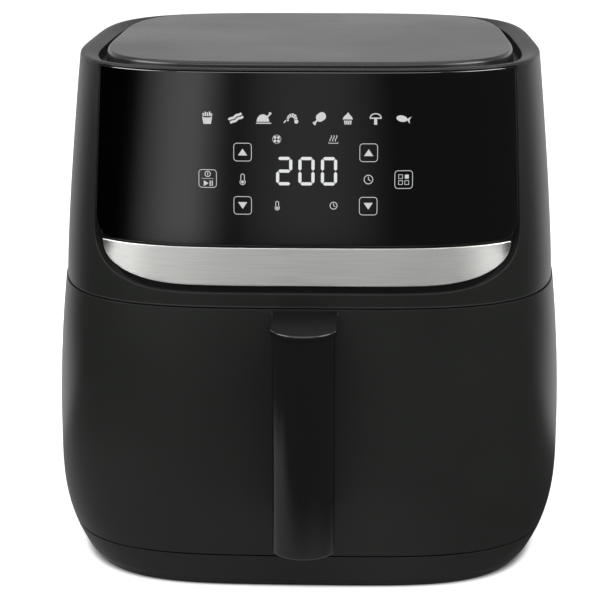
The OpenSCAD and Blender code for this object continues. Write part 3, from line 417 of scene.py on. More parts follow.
HOUSING_LOW = SEAM_Z + CLEAR
LIP_H = 0.85
RIM_R, RIM_CREST, RIM_EDGE = 1.1, 3.6, 0.7
GROOVE_FLOOR = GROOVE_Z - 3.5
HOLE_R = 0.45
PATCH_HALF = 131.0
GLASS_HALF_TOP, GLASS_HALF_LOW = 119.0, 122.6
GLASS_CORNER, CORNER_IN, CORNER_UP = 1.3, 12.0, 14.0
GLASS_GAP = 0.4
WINDOW_TIP, WINDOW_TOP = GLASS_HALF_LOW + GLASS_GAP, GLASS_TOP + 0.3
WINDOW_UP, WINDOW_BEND = 8.0, 2.75
TRIM_FLAT, TRIM_TIP = 62.0, GLASS_HALF_LOW - 3.8
RECESS = WALL + CLEAR


def glass_half(z):
    share = (GLASS_TOP - z) / (GLASS_TOP - GLASS_LOW)
    return GLASS_HALF_TOP + (GLASS_HALF_LOW - GLASS_HALF_TOP) * share


def glass_low(x):
    return GLASS_LOW + boat_rise(x, GLASS_HALF_LOW - CORNER_IN, GLASS_HALF_LOW, CORNER_UP)


def window_low(x):
    low = TRIM_LOW - LIP
    return low + boat_rise(x, TRIM_FLAT, WINDOW_TIP, GLASS_LOW + WINDOW_UP - low, WINDOW_BEND)


def resample(points, count):
    """Evenly spaced points along a closed outline."""
    loop = np.vstack([points, points[:1]])
    run = np.concatenate([[0], np.cumsum(np.hypot(*np.diff(loop, axis=0).T))])
    at = np.arange(count) / count * run[-1]
    return np.stack([np.interp(at, run, loop[:, k]) for k in (0, 1)], -1)


def window_outline():
    """Right half from the bottom middle up to the top middle, then mirrored."""
    x = WINDOW_TIP * np.sin(np.linspace(0, math.pi / 2, 90))
    low = np.stack([x, window_low(x)], -1)
    r = GLASS_CORNER + GLASS_GAP
    corner = arc(glass_half(GLASS_TOP) + GLASS_GAP - r, WINDOW_TOP - r, r, 4, 90, 12)
    half = np.vstack([low, corner, [[0, WINDOW_TOP]]])
    return np.vstack([half, half[::-1][1:-1] * [-1, 1]])


def rounded_box(half_x, low, high, r):
    right, left, top, foot = half_x - r, r - half_x, high - r, low + r
    corners = ((right, foot, -90), (right, top, 0), (left, top, 90), (left, foot, 180))
    return np.vstack([arc(x, z, r, start, start + 90, 10) for x, z, start in corners])


def outward(loop):
    """Unit normals of a closed outline that runs anticlockwise."""
    tangent = np.roll(loop, -1, 0) - np.roll(loop, 1, 0)
    normal = np.stack([tangent[:, 1], -tangent[:, 0]], -1)
    return normal / np.linalg.norm(normal, axis=1, keepdims=True)


def ray_hit(loop, centre, angle):
    """Where a ray from the centre meets a closed outline."""
    d = np.array([math.cos(angle), math.sin(angle)])
    a, b = loop - centre, np.roll(loop, -1, 0) - centre
    e = b - a
    cross = d[0] * e[:, 1] - d[1] * e[:, 0]
    cross = np.where(np.abs(cross) < 1e-12, 1e-12, cross)
    t = (a[:, 0] * e[:, 1] - a[:, 1] * e[:, 0]) / cross
    u = (a[:, 0] * d[1] - a[:, 1] * d[0]) / cross
    good = (u >= -1e-9) & (u <= 1 + 1e-9) & (t > 0)
    return centre + d * t[good].min()


def patch(skin, hole, low, high, depth, rear=False, count=300):
    """Wall between an upright rectangle and a hole with rounded edges. Returns the rectangle."""
    centre = np.array([0.0, (hole[:, 1].min() + hole[:, 1].max()) / 2])
    rect = np.array([(x * PATCH_HALF, z) for x, z in ((1, low), (1, high), (-1, high), (-1, low))])
    aims = [np.arctan2(*(loop - centre).T[::-1]) for loop in (resample(hole, count), rect)]
    aims = np.unique(np.round(np.mod(np.concatenate(aims), 2 * math.pi), 9))
    inner, outer = (np.array([ray_hit(loop, centre, a) for a in aims]) for loop in (hole, rect))
    normal = outward(inner)
    start = inner + normal * HOLE_R
    rows = [wall_point(*(outer + (start - outer) * t).T, 0.0, rear) for t in np.linspace(0, 1, 12)]
    for t in np.radians([30, 60, 90]):
        ring = start - normal * HOLE_R * math.sin(t)
        rows.append(wall_point(*ring.T, HOLE_R * (1 - math.cos(t)), rear))
    rows.append(wall_point(*inner.T, depth, rear))
    skin.grid(rows, wrap=True, flip=rear)
    return outer


def side_levels(rectangles):
    """Levels of the points on the upright edges that the patches share with the side walls."""
    points = np.vstack(rectangles)
    zs = np.unique(np.round(points[np.abs(points[:, 0] - PATCH_HALF) < 1e-6, 1], 6))
    return zs[np.concatenate([[True], np.diff(zs) > 0.05])]


def build_upper_shell():
    skin = Skin()
    low, high = HOUSING_LOW + LIP_H, BODY_H - RIM_R
    grille = rounded_box(GRILLE_HALF, GRILLE_LOW, GRILLE_HIGH, GRILLE_CORNER)
    patches = [patch(skin, window_outline(), low, high, RECESS),
               patch(skin, grille, low, high, WALL, True, 160)]
    # Side walls between the two patches
    for side in (1, -1):
        rows = []
        for z in side_levels(patches):
            a, b, n = half_plan(z)
            reach = np.arccos((PATCH_HALF / a) ** (n / 2))
            x, y = oval(a, b, n, eased(reach, 90))
            rows.append(np.stack([side * x, y, np.full_like(x, z)], -1))
        skin.grid(rows, flip=side < 0)
    # Rounded top edge, crest, slope down to the rounded inner edge, and groove
    angles = even_angles(360)
    inner = RIM_W - RIM_EDGE
    section = [(0.0, high)] + rounding(RIM_R, 0, high, (22, 45, 68))
    section += [(RIM_R + 0.2, BODY_H), (RIM_CREST - 1.0, BODY_H), (RIM_CREST, BODY_H - 0.06)]
    for t in (0.15, 0.5, 0.85):
        section.append((RIM_CREST + (inner - RIM_CREST) * t, BODY_H - RIM_DISH * t))
    for t in np.radians([20, 45, 70, 90]):
        drop = RIM_DISH + RIM_EDGE * (1 - math.cos(t))
        section.append((inner + RIM_EDGE * math.sin(t), BODY_H - drop))
    section += [(RIM_W + 0.1, GROOVE_FLOOR + 0.8), (RIM_W + 0.9, GROOVE_FLOOR),
                (RIM_W + GROOVE_W + 6, GROOVE_FLOOR)]
    skin.grid([body_ring(angles, z, i) for i, z in section], wrap=True)
    # Lip above the seam, painted lighter in colour as a highlight line, and the flange behind it
    edge = [(0.0, low), (0.0, HOUSING_LOW + 0.2), (0.06, HOUSING_LOW + 0.06), (0.2, HOUSING_LOW)]
    under = [edge[-1], (FLANGE, HOUSING_LOW), (FLANGE, HOUSING_LOW + WALL)]
    for tag, line in ((1, edge), (0, under)):
        skin.grid([body_ring(angles, z, i) for i, z in line], wrap=True, flip=True, tag=tag)
    skin.make("upper_shell", (upper_black, lip_painted_highlight), "housing", "upper_shell", "upper_housing")


COVER_R, COVER_SPREAD = 2.2, 1.4


def build_cover():
    skin = Skin()
    angles = even_angles(300)
    edge, shoulder = RIM_W + GROOVE_W - COVER_SPREAD, COVER_TOP - COVER_R
    section = [(edge, GROOVE_FLOOR), (edge, shoulder)]
    section += rounding(COVER_R, edge, shoulder, (15, 30, 45, 60, 75, 90))
    rows = [body_ring(angles, z, i) for i, z in section]
    skin.grid(rows, wrap=True)
    skin.lid(rows[-1])
    skin.make("lid_cover", cover_black, "housing", "top_cover", "top_cover")


def slab(name, slot, replaced, materials, xs, low, high, rows, inset, r, depth, lean=None):
    """Plate on the front wall between a bottom and a top curve, with rounded edges."""
    share = np.linspace(0, 1, rows)[:, None]
    z = low(xs)[None] + (high(xs) - low(xs))[None] * share
    x = np.broadcast_to(xs, z.shape) * (lean(z) if lean else 1.0)
    skin = Skin()
    skin.grid(wall_point(x, z, inset))
    skin.grid(wall_point(x, z, inset + depth), flip=True)
    plan = np.stack([x, z], -1)
    sides = (plan[0], plan[:, -1], plan[-1, ::-1], plan[::-1, 0])
    loop = np.concatenate([side[:-1] for side in sides])
    normal = outward(loop)
    rings = []
    for t in np.radians([0, 22.5, 45, 67.5, 90]):
        ring = loop + normal * r * math.sin(t)
        rings.append(wall_point(*ring.T, inset + r * (1 - math.cos(t))))
    skin.grid(rings, wrap=True, tag=1 if isinstance(materials, tuple) else 0)
    backs = [wall_point(*outline.T, inset + depth) for outline in (loop + normal * r, loop)]
    skin.grid([rings[-1], *backs], wrap=True)
    skin.make(name, materials, "housing", slot, replaced)


GLASS_INSET, GLASS_R = 0.2, 0.7
TRIM_INSET, TRIM_R, TRIM_GAP, TRIM_REACH = 1.4, 0.45, 1.3, 0.93
CARRIER_R, CARRIER_T, CARRIER_RISE, CARRIER_UNDER = 0.2, 2.0, 26.0, 2.0
CARRIER_TOP = GROOVE_Z - 2 * WALL - 6


def build_glass():
    half = GLASS_HALF_LOW - GLASS_R

    def low(x):
        return glass_low(x * GLASS_HALF_LOW / half) + GLASS_R

    def high(x):
        over = np.clip(np.abs(x) - (half - GLASS_CORNER), 0, GLASS_CORNER)
        return GLASS_TOP - GLASS_R - (GLASS_CORNER - np.sqrt(GLASS_CORNER**2 - over**2))

    slab("glass_panel", "panel_glass", "control_panel", panel_glass,
         eased(half, 161), low, high, 40, GLASS_INSET, GLASS_R, GLASS_T,
         lambda z: glass_half(z) / GLASS_HALF_LOW)


def build_trim():
    tip = TRIM_TIP - TRIM_R
    height = GLASS_LOW - TRIM_GAP - TRIM_LOW

    def high(x):
        return glass_low(x * TRIM_REACH) - TRIM_GAP - TRIM_R

    def low(x):
        rise = TRIM_LOW + TRIM_R + boat_rise(x, TRIM_FLAT, tip, height)
        return np.minimum(rise, high(x) - 0.2)

    # The rounded edges take steel painted paler, as a highlight line
    slab("trim_strip", "steel_trim", "steel_trim", (trim_steel, steel_edge_painted_highlight),
         eased(tip, 161), low, high, 12, TRIM_INSET, TRIM_R, TRIM_T)


def build_carrier():
    """Plate behind the glass and the trim, which closes the window."""

    def low(x):
        return np.minimum(window_low(x), window_low(0) + CARRIER_RISE) - CARRIER_UNDER

    def high(x):
        return np.full_like(x, CARRIER_TOP)

    slab("panel_carrier", "panel_frame", "panel_frame", gloss_black,
         np.linspace(-WINDOW_TIP - 1, WINDOW_TIP + 1, 120), low, high, 30,
         RECESS, CARRIER_R, CARRIER_T)


# ---- Lower shells ----

SEAT_R = 0.18


def sector_ring(fine, edge_y, rear, z, inset):
    """Outline of the wall in front of or behind two upright edges, at a level."""
    _, b, n = half_plan(z)
    edge = np.arcsin((edge_y / b) ** (n / 2))
    start, end = (-edge, math.pi + edge) if rear else (math.pi + edge, 2 * math.pi - edge)
    turns = np.concatenate([fine - 2 * math.pi, fine])
    inside = turns[(turns > start + 1e-4) & (turns < end - 1e-4)]
    turns = np.concatenate([[start], inside, [end]])
    run = np.interp(np.linspace(0, 1, 260), np.linspace(0, 1, len(turns)), turns)
    return body_ring(run, z, inset)


def build_wall_sector(name, body, slot, replaced, rear, edge_y, low, high):
    """Wall shell with rounded edges and flanges at its seams."""
    r = SEAT_R
    section = [(FLANGE, low + WALL), (FLANGE, low)]
    section += rounding(r, 0, low + r, (90, 67, 45, 22), -1)
    section += [(0.0, z) for z in levels(low + r, high - r, 4.0)]
    section += rounding(r, 0, high - r, (22, 45, 67, 90))
    section += [(FLANGE, high), (FLANGE, high - WALL)]
    section += [(WALL, z) for z in levels(low + WALL, high - WALL, 20)[::-1]]
    fine = even_angles(2400)
    rows = [sector_ring(fine, edge_y, rear, z, inset) for inset, z in section]
    skin = Skin()
    skin.grid(rows + rows[:1])
    for column in (0, -1):
        skin.cap(np.array(rows)[:, column])
    skin.make(name, upper_black, body, slot, replaced)


FLOOR_IN = WALL + 4.0
PLINTH_IN, PLINTH_LOW, PLINTH_TOP = 0.9, 0.8, 4.4
BOSS_CHAMFER, BOSS_FILLET, BORE_CLEAR = 0.4, 1.0, 0.2
BOSS_TOPS = {-SCREW_Y: LINER_FLOOR_Z - 2 * CLEAR - WALL, SCREW_Y: LINER_FLOOR_Z - CLEAR}


def base_holes():
    """Outlines of the holes for feet and air through the floor of the base, in plan."""
    holes = [circle(x, y, STEM_R) for x in (-FOOT_X, FOOT_X) for y in (-FOOT_Y, FOOT_Y)]
    for i in range(SLOTS):
        ends = arc(0, SLOT_HALF, SLOT_R, 0, 180, 9) + arc(0, -SLOT_HALF, SLOT_R, 180, 360, 9)
        holes.append(np.array(ends) + [(i - SLOTS // 2) * SLOT_PITCH, SLOT_Y])
    return holes


def screw_holes(r):
    return [circle(x, y, r) for x in (-SCREW_X, SCREW_X) for y in BOSS_TOPS]


def build_base():
    """Base with a plinth, a slotted floor and tall screw bosses."""
    skin = Skin()
    angles = even_angles(360)
    rim = BASE_Z - SEAM_GAP / 2
    side = [(PLINTH_IN + 2.4, FOOT_H), (PLINTH_IN + 2.4, PLINTH_LOW + 0.6),
            (PLINTH_IN + 1.2, PLINTH_LOW), (PLINTH_IN + 0.4, PLINTH_LOW + 0.2),
            (PLINTH_IN, PLINTH_LOW + 0.8), (PLINTH_IN, PLINTH_TOP),
            (0.5, PLINTH_TOP + 0.15), (0.12, PLINTH_TOP + 0.5), (0.0, PLINTH_TOP + 1.1)]
    side += [(0.0, z) for z in levels(PLINTH_TOP + 2, rim - SEAT_R, 3.0)]
    side += rounding(SEAT_R, 0, rim - SEAT_R, (30, 60, 90))
    side += [(WALL, rim), (WALL, BASE_FLOOR + 4), (FLOOR_IN, BASE_FLOOR)]
    rows = [body_ring(angles, z, i) for i, z in side]
    skin.grid(rows, wrap=True)
    # The screws' holes are narrow underneath, and as wide as the feet of the bosses above
    holes = base_holes()
    head, boss_foot = SCREW_HEAD_R + CLEAR, BOSS_R + BOSS_FILLET
    bore, seat = SCREW_R + BORE_CLEAR, BASE_FLOOR + SCREW_HEAD_H
    skin.plate(rows[0][:, :2], holes + screw_holes(head), FOOT_H)
    skin.plate(rows[-1][:, :2], holes + screw_holes(boss_foot), BASE_FLOOR)
    for hole in holes:
        skin.grid([at_level(hole, z) for z in (FOOT_H, BASE_FLOOR)], wrap=True)
    # The front pair of bosses carries the collar, the rear pair the liner
    for x in (-SCREW_X, SCREW_X):
        for y, top in BOSS_TOPS.items():
            tube = [(head, FOOT_H), (head, seat), (bore, seat), (bore, top),
                    (BOSS_R - BOSS_CHAMFER, top), (BOSS_R, top - BOSS_CHAMFER),
                    (BOSS_R, BASE_FLOOR + BOSS_FILLET), (boss_foot, BASE_FLOOR)]
            skin.grid([at_level(circle(x, y, radius), z) for radius, z in tube], wrap=True)
    skin.make("base_skin", base_black, "housing", "base", "base_tub")


# ---- Handle ----

# The grip's front is part of a circle about ARC_Y
ARC_R = (GRIP_HALF**2 + GRIP_BULGE**2) / (2 * GRIP_BULGE)
ARC_Y = ARC_R - GRIP_FRONT
GRIP_SIDE = GRIP_BULGE - GRIP_FRONT
GRIP_END_R, GRIP_FOCUS = 1.2, 6.0
CAP_LOW, CAP_FRONT_Z, CAP_BACK_Z = SEAM_Z - 5, SEAM_Z - 2.2, SEAM_Z - 1.2
CAP_EDGE, CAP_NOSE, CAP_CORNER, CAP_SUNK = 0.7, 1.2, 3.0, 0.6
CAP_FOOT_IN, CAP_FOOT_UP = 0.3, 0.1


def build_grip_cover():
    """Front cover of the grip: a bowed shell with a rounded lower end."""
    r = GRIP_END_R
    section = rounding(r, 0, GRIP_LOW + r, (90, 68, 45, 22), -1)
    section += [(0.0, z) for z in levels(GRIP_LOW + r, CAP_LOW, 6.0)]
    half = math.asin(GRIP_HALF / ARC_R)
    t = np.linspace(-half, half, 41)
    plan = np.stack([ARC_R * np.sin(t), ARC_Y - ARC_R * np.cos(t)], -1)
    aim = plan - [0.0, ARC_Y + GRIP_FOCUS]
    aim /= np.linalg.norm(aim, axis=1, keepdims=True)
    rows = []
    for inset, z in section:
        row = plan - aim * inset
        row[:, 1] = np.minimum(row[:, 1], GRIP_SIDE)
        rows.append(at_level(row, z))
    skin = Skin()
    skin.grid(rows)
    skin.grid([row[[0, -1]] for row in rows], flip=True)
    for end in (rows[0], rows[-1]):
        skin.fan(end, end.mean(0))
    skin.make("grip_cover", gloss_black, "drawer", "handle_gloss", "handle_cover")


def cap_outline():
    """Plan of the cap: straight sides, a bowed front and rounded corners between them."""
    half = GRIP_HALF + CAP_OVER
    bow = ARC_R + CAP_OVER
    # Centre of the circle that touches the side and the bow from inside
    cx = half - CAP_CORNER
    cy = ARC_Y - math.sqrt((bow - CAP_CORNER) ** 2 - cx**2)
    aim = math.degrees(math.atan2(cy - ARC_Y, cx))
    corner = arc(cx, cy, CAP_CORNER, 0, aim, 12)
    front = arc(0, ARC_Y, bow, aim, -90, 24)[1:]
    back = float(wall_point(0.0, CAP_BACK_Z)[1]) + CAP_SUNK
    side = [(half, y) for y in np.linspace(back, cy, 14)[:-1]]
    right = np.array(side + corner + front)
    left = right[::-1][1:] * [-1, 1]
    return np.vstack([right, left])[::-1]


def build_cap():
    """Cap over the arm and the grip: nearly level from the seam to a rounded nose."""
    loop = cap_outline()
    normal = outward(loop)
    back, front = loop[:, 1].max(), loop[:, 1].min()
    normal[loop[:, 1] > back - 1e-6, 1] = 0
    # The rounding grows from the sides' edge to the nose
    r = CAP_EDGE + (CAP_NOSE - CAP_EDGE) * np.clip(-normal[:, 1], 0, 1) ** 2

    def ring(t):
        p = loop - normal * (r * (1 - math.cos(t)))[:, None]
        top = CAP_FRONT_Z + (CAP_BACK_Z - CAP_FRONT_Z) * (p[:, 1] - front) / (back - front)
        return np.column_stack([p, top - r * (1 - math.sin(t))])

    under = at_level(loop - normal * CAP_FOOT_IN, CAP_LOW)
    rings = [ring(t) for t in np.radians([0, 15, 30, 45, 60, 75, 90])]
    skin = Skin()
    skin.grid([under, at_level(loop, CAP_LOW + CAP_FOOT_UP), rings[0]], wrap=True)
    skin.grid(rings[:5], wrap=True, tag=1)
    skin.grid(rings[4:], wrap=True)
    skin.lid(rings[-1])
    skin.lid(under)
    skin.make("grip_cap", (cap_black, edge_black), "drawer", "handle_gloss", "handle_cap")


build_upper_shell()
build_cover()
build_glass()
build_trim()
build_carrier()
build_wall_sector("lower_shell", "housing", "lower_shell", "body_shell",
                  True, WRAP_Y, BASE_Z, SEAM_Z)
build_wall_sector("drawer_skin", "drawer", "drawer_shell", "drawer_front",
                  False, WRAP_Y + SEAM_GAP, BASE_Z + SEAM_GAP / 2, SEAM_Z - SEAM_GAP / 2)
build_base()
build_grip_cover()
build_cap()

# ---- Panel graphics ----

INK_INSET = GLASS_INSET - 0.03
KEY_HALF, KEY_CORNER, KEY_LINE = 4.95, 1.7, 0.34
ARROW_X, ARROW_TOP_Z, ARROW_LOW_Z = 35.2, 259.1, 229.3
SIDE_KEY_X, SIDE_KEY_Z = 54.9, 244.1
# Places and bars of the digits, then their common sizes
DIGITS = ((-11.9, "abged"), (0.55, "abcdef"), (13.15, "abcdef"))
DIGIT_Z, DIGIT_W, DIGIT_H, BAR_HALF, BAR_GAP = 248.7, 7.3, 14.1, 0.88, 0.26
FOOD_XS, FOOD_Z = (-55.0, -38.9, -23.4, -7.9, 7.9, 23.4, 38.9, 55.0), 277.9
# Places and sizes of the signs that say temperature and time
THERMOMETERS = ((-35.2, 244.2, 1.1), (-15.8, 229.5, 0.9))
CLOCKS = ((35.2, 244.2, 1.05), (15.8, 229.5, 0.85))


class Ink:
    """Flat symbols on the glass, drawn across and up from a place that at() sets."""

    def __init__(self):
        self.points, self.faces = [], []

    def at(self, x, z, turn=0.0, size=1.0):
        c, s = size * math.cos(math.radians(turn)), size * math.sin(math.radians(turn))
        self.origin, self.axes = np.array([x, z]), np.array([[c, s], [-s, c]])

    def lay(self, points):
        return self.origin + np.asarray(points, float) @ self.axes

    def poly(self, outline):
        outline = self.lay(outline).tolist()
        start = len(self.points)
        self.points += outline
        flat = tessellate_polygon([[Vector((x, z, 0)) for x, z in outline]])
        self.faces += [tuple(start + i for i in corners) for corners in flat]

    def line(self, points, width, closed=False):
        points = self.lay(points)
        after, before = np.roll(points, -1, 0), np.roll(points, 1, 0)
        if not closed:
            after[-1], before[0] = 2 * points[-1] - points[-2], 2 * points[0] - points[1]
        tangent = after - before
        tangent /= np.linalg.norm(tangent, axis=1, keepdims=True)
        side = np.stack([-tangent[:, 1], tangent[:, 0]], -1) * width / 2
        start, n = len(self.points), len(points)
        self.points += np.vstack([points + side, points - side]).tolist()
        for i in range(n if closed else n - 1):
            j = (i + 1) % n
            self.faces.append((start + i, start + j, start + n + j, start + n + i))

    def ring(self, x, z, r, width):
        self.line(circle(x, z, r, 40), width, True)

    def disc(self, x, z, r):
        self.poly(circle(x, z, r, 28))

    def box(self, x0, z0, x1, z1):
        self.poly([(x0, z0), (x1, z0), (x1, z1), (x0, z1)])

    def make(self, name, material):
        x, z = np.array(self.points).T
        points = wall_point(x, z, INK_INSET)
        add_mesh(name, points, self.faces, material, "housing")


def draw_keys(ink):
    """Outlines of the six keys, with the arrows in four of them."""
    outline = resample(rounded_box(KEY_HALF, -KEY_HALF, KEY_HALF, KEY_CORNER), 64)
    for side in (-1, 1):
        for z, turn in ((ARROW_TOP_Z, 0), (ARROW_LOW_Z, 180)):
            ink.at(side * ARROW_X, z, turn)
            ink.line(outline, KEY_LINE, True)
            ink.poly([(-2.6, -1.85), (2.6, -1.85), (0, 1.95)])
        ink.at(side * SIDE_KEY_X, SIDE_KEY_Z)
        ink.line(outline, KEY_LINE, True)


def draw_start(ink):
    """Power sign over a play mark and a pause mark."""
    ink.at(-SIDE_KEY_X, SIDE_KEY_Z)
    ink.ring(0, 2.6, 1.5, 0.42)
    ink.box(-0.2, 1.8, 0.2, 3.4)
    ink.line([(-3.3, 0), (3.3, 0)], 0.22)
    ink.poly([(-2.2, -4.2), (-2.2, -1.0), (0.5, -2.6)])
    for x in (1.1, 2.3):
        ink.box(x, -4.1, x + 0.6, -1.1)


def draw_menu(ink):
    """Four squares, one of them filled."""
    square = [(-1.1, -1.1), (1.1, -1.1), (1.1, 1.1), (-1.1, 1.1)]
    for dx, dz in ((-1.75, 1.65), (1.75, 1.65), (-1.75, -1.65), (1.75, -1.65)):
        ink.at(SIDE_KEY_X + dx, SIDE_KEY_Z + dz)
        if dx > 0 and dz > 0:
            ink.poly(square)
        else:
            ink.line(square, 0.4, True)


def draw_fan_and_heat(ink):
    ink.at(-16.1, 266.4)
    ink.ring(0, 0, 2.35, 0.22)
    for t in np.radians([45, 135, 225, 315]):
        ink.disc(1.35 * math.cos(t), 1.35 * math.sin(t), 0.8)
    ink.at(15.5, 266.5)
    t = np.linspace(-1, 1, 17)
    for dx in (-1.5, 0, 1.5):
        ink.line(np.stack([dx + 0.35 * np.sin(t * math.pi) + 0.25 * t, 0.5 + 1.7 * t], -1), 0.42)
    ink.line([(-2.6, -1.5), (-2.6, -2.2), (2.6, -2.2), (2.6, -1.5)], 0.34)


def draw_thermometers_and_clocks(ink):
    for x, z, size in THERMOMETERS:
        ink.at(x, z, 0, size)
        for dx in (-0.9, 0.9):
            ink.line([(dx, -0.6), (dx, 1.6)], 0.4)
        ink.line(arc(0, 1.6, 0.9, 0, 180, 40), 0.4)
        ink.line(arc(0, -1.6, 1.35, 132, 408, 40), 0.4)
        ink.disc(0, -1.6, 0.75)
    for x, z, size in CLOCKS:
        ink.at(x, z, 0, size)
        ink.ring(0, 0, 2.3, 0.42)
        ink.line([(0, 1.5), (0, 0), (1.1, -0.7)], 0.42)


def draw_food(ink):
    """Eight plain food signs in a row."""
    chips, rashers, bird, prawn, drumstick, cake, mushroom, fish = FOOD_XS
    z = FOOD_Z
    dome, along = np.array(arc(0, 0, 1, 0, 180, 25)), np.linspace(-4, 4, 17)
    # Chips in a cup
    ink.at(chips, z)
    ink.poly([(-2.1, -3.4), (2.1, -3.4), (2.8, 0.6), (1.2, 0.1), (-1.2, 0.1), (-2.8, 0.6)])
    for dx, top in ((-2.2, 2.6), (-1.0, 3.3), (0.2, 2.9), (1.4, 3.4), (2.4, 2.5)):
        ink.box(dx - 0.42, 0.9, dx + 0.42, top)
    # Two rashers
    ink.at(rashers, z, 28)
    for off in (-1.0, 1.0):
        ink.line(np.stack([along, off + 0.25 * np.sin(along * 1.6)], -1), 1.35)
    # Roast bird on a plate
    ink.at(bird, z)
    ink.poly(dome * [3.5, 4.1] - [0.4, 1.9])
    ink.line([(1.6, 0.4), (3.6, 2.3)], 0.9)
    ink.disc(3.8, 2.7, 0.6)
    ink.disc(3.3, 2.9, 0.45)
    ink.line([(-4.2, -2.7), (4.2, -2.7)], 0.6)
    # Prawn, whose rings grow narrower on both sides of the thickest one
    ink.at(prawn, z)
    for a in range(20, 190, 28):
        outer = 1.5 + 1.9 * (1.5 - 0.9 * abs(a - 60) / 130) / 1.2
        ink.poly(arc(0, -0.8, outer, a - 11, a + 11, 2) + arc(0, -0.8, 1.5, a + 11, a - 11, 2))
    ink.disc(2.7, -1.7, 1.15)
    ink.line([(-3.0, -1.0), (-4.2, -2.4)], 0.7)
    # Drumstick
    ink.at(drumstick + 0.6, z + 0.9, 35)
    ink.poly(resample(rounded_box(2.9, -2.3, 2.3, 2.2), 30))
    ink.at(drumstick, z)
    ink.line([(-1.2, -0.8), (-3.1, -2.6)], 1.0)
    ink.disc(-3.3, -2.4, 0.62)
    ink.disc(-2.8, -3.0, 0.62)
    # Cup cake
    ink.at(cake, z)
    ink.poly([(-2.9, -0.4), (2.9, -0.4), (2.2, 1.2), (1.1, 2.2), (0.2, 3.6), (-0.9, 2.2),
              (-2.2, 1.2)])
    for top in (-1.7, -0.55, 0.6, 1.75):
        low = top * 0.86
        ink.poly([(low - 0.34, -3.2), (low + 0.34, -3.2), (top + 0.42, -1.0), (top - 0.42, -1.0)])
    # Mushroom
    ink.at(mushroom, z)
    ink.line(dome * [3.1, 2.5] + [0, 0.3], 0.6)
    ink.line([(-3.3, 0.3), (3.3, 0.3)], 0.7)
    ink.poly([(-0.75, 0.2), (-0.9, -3.3), (0.9, -3.3), (0.75, 0.2)])
    # Fish
    ink.at(fish - 1.5, z, -12)
    ink.poly(circle(0, 0, 1, 28) * [3.1, 1.75])
    ink.at(fish - 0.8, z, -12)
    ink.poly([(4.3, -2.0), (3.6, 0.0), (4.3, 2.0), (1.8, 0.0)])


def build_digits():
    """Seven-bar digits; the bars have letters clockwise from the top, and g in the middle."""
    w, h, gap = DIGIT_W / 2, DIGIT_H / 2, BAR_GAP
    ends = {bar: ((gap - w, z), (w - gap, z)) for bar, z in (("a", h), ("g", 0), ("d", -h))}
    for bar, x, low, high in (("b", w, 0, h), ("c", w, -h, 0), ("f", -w, 0, h), ("e", -w, -h, 0)):
        ends[bar] = ((x, low + gap), (x, high - gap))
    ink = Ink()
    for x, bars in DIGITS:
        ink.at(x, DIGIT_Z)
        for bar in bars:
            a, b = np.array(ends[bar])
            along = (b - a) / np.linalg.norm(b - a) * BAR_HALF
            across = np.array([-along[1], along[0]])
            ink.poly([a, a + along + across, b - along + across,
                      b, b - along - across, a + along - across])
    ink.make("display_digits", digit_white)


def build_symbols():
    ink = Ink()
    for draw in (draw_keys, draw_start, draw_menu, draw_fan_and_heat, draw_food,
                 draw_thermometers_and_clocks):
        draw(ink)
    ink.make("panel_symbols", symbol_white)


build_digits()
build_symbols()

# ---- CAD nodes that keep their shape ----

KEPT = (
    (base_black, "rear_grille"),
    (upper_black, "handle_neck handle_back"),
    (satin("rubber_black", grey(0.012), 0.7, 900.0, 1.5e-5), "rubber_feet cord_gland"),
    (satin("frame_black", grey(0.014), 0.5, 1500.0, 1e-5),
     "mid_deck cavity_frame exhaust_duct drawer_inner_plate"),
    (sheet_metal("liner_steel", (0.5, 0.5, 0.49), 0.36, 260.0, 6e-6, (1, 0.08, 1)),
     "oven_liner pan_rails heat_reflector"),
    (sheet_metal("zinc_steel", (0.55, 0.56, 0.57), 0.33, 120.0, 5e-6),
     "base_screws motor_bracket motor pan_bracket handle_screws"),
    (sheet_metal("bright_wire", grey(0.62), 0.2, 160.0, 3e-6),
     "element_guard motor_shaft temperature_probe"),
    (sheet_metal("dark_element", (0.16, 0.15, 0.14), 0.45, 300.0, 8e-6), "heating_element"),
    (sheet_metal("fan_metal", (0.6, 0.6, 0.61), 0.3, 200.0, 4e-6), "hot_air_fan"),
    (satin("non_stick", (0.018, 0.018, 0.019), 0.28, 1300.0, 1.2e-5), "basket_pan crisper_plate"),
    (satin("silicone", (0.05, 0.05, 0.053), 0.55, 900.0, 1e-5), "plate_bumpers"),
    (satin("fan_plastic", (0.6, 0.58, 0.52), 0.4), "cooling_fan"),
    (satin("board_green", (0.015, 0.09, 0.04), 0.35, 700.0, 1e-5), "control_board power_board"),
    (satin("white_plastic", (0.72, 0.72, 0.7), 0.45), "display_module"),
    (satin("switch_black", (0.02, 0.02, 0.022), 0.4), "door_switch"),
    (satin("plunger_red", (0.45, 0.03, 0.02), 0.4), "switch_plunger"),
    (satin("phenolic", (0.2, 0.13, 0.07), 0.4), "thermal_cutout"),
)
# Thin or small nodes, which a bevel would collapse
FINE = ("element_guard", "heating_element", "crisper_plate", "hot_air_fan", "cooling_fan",
        "pan_rails")
SMOOTH_BELOW, BEVEL_FROM, BEVEL_W = 30, 40, 0.3


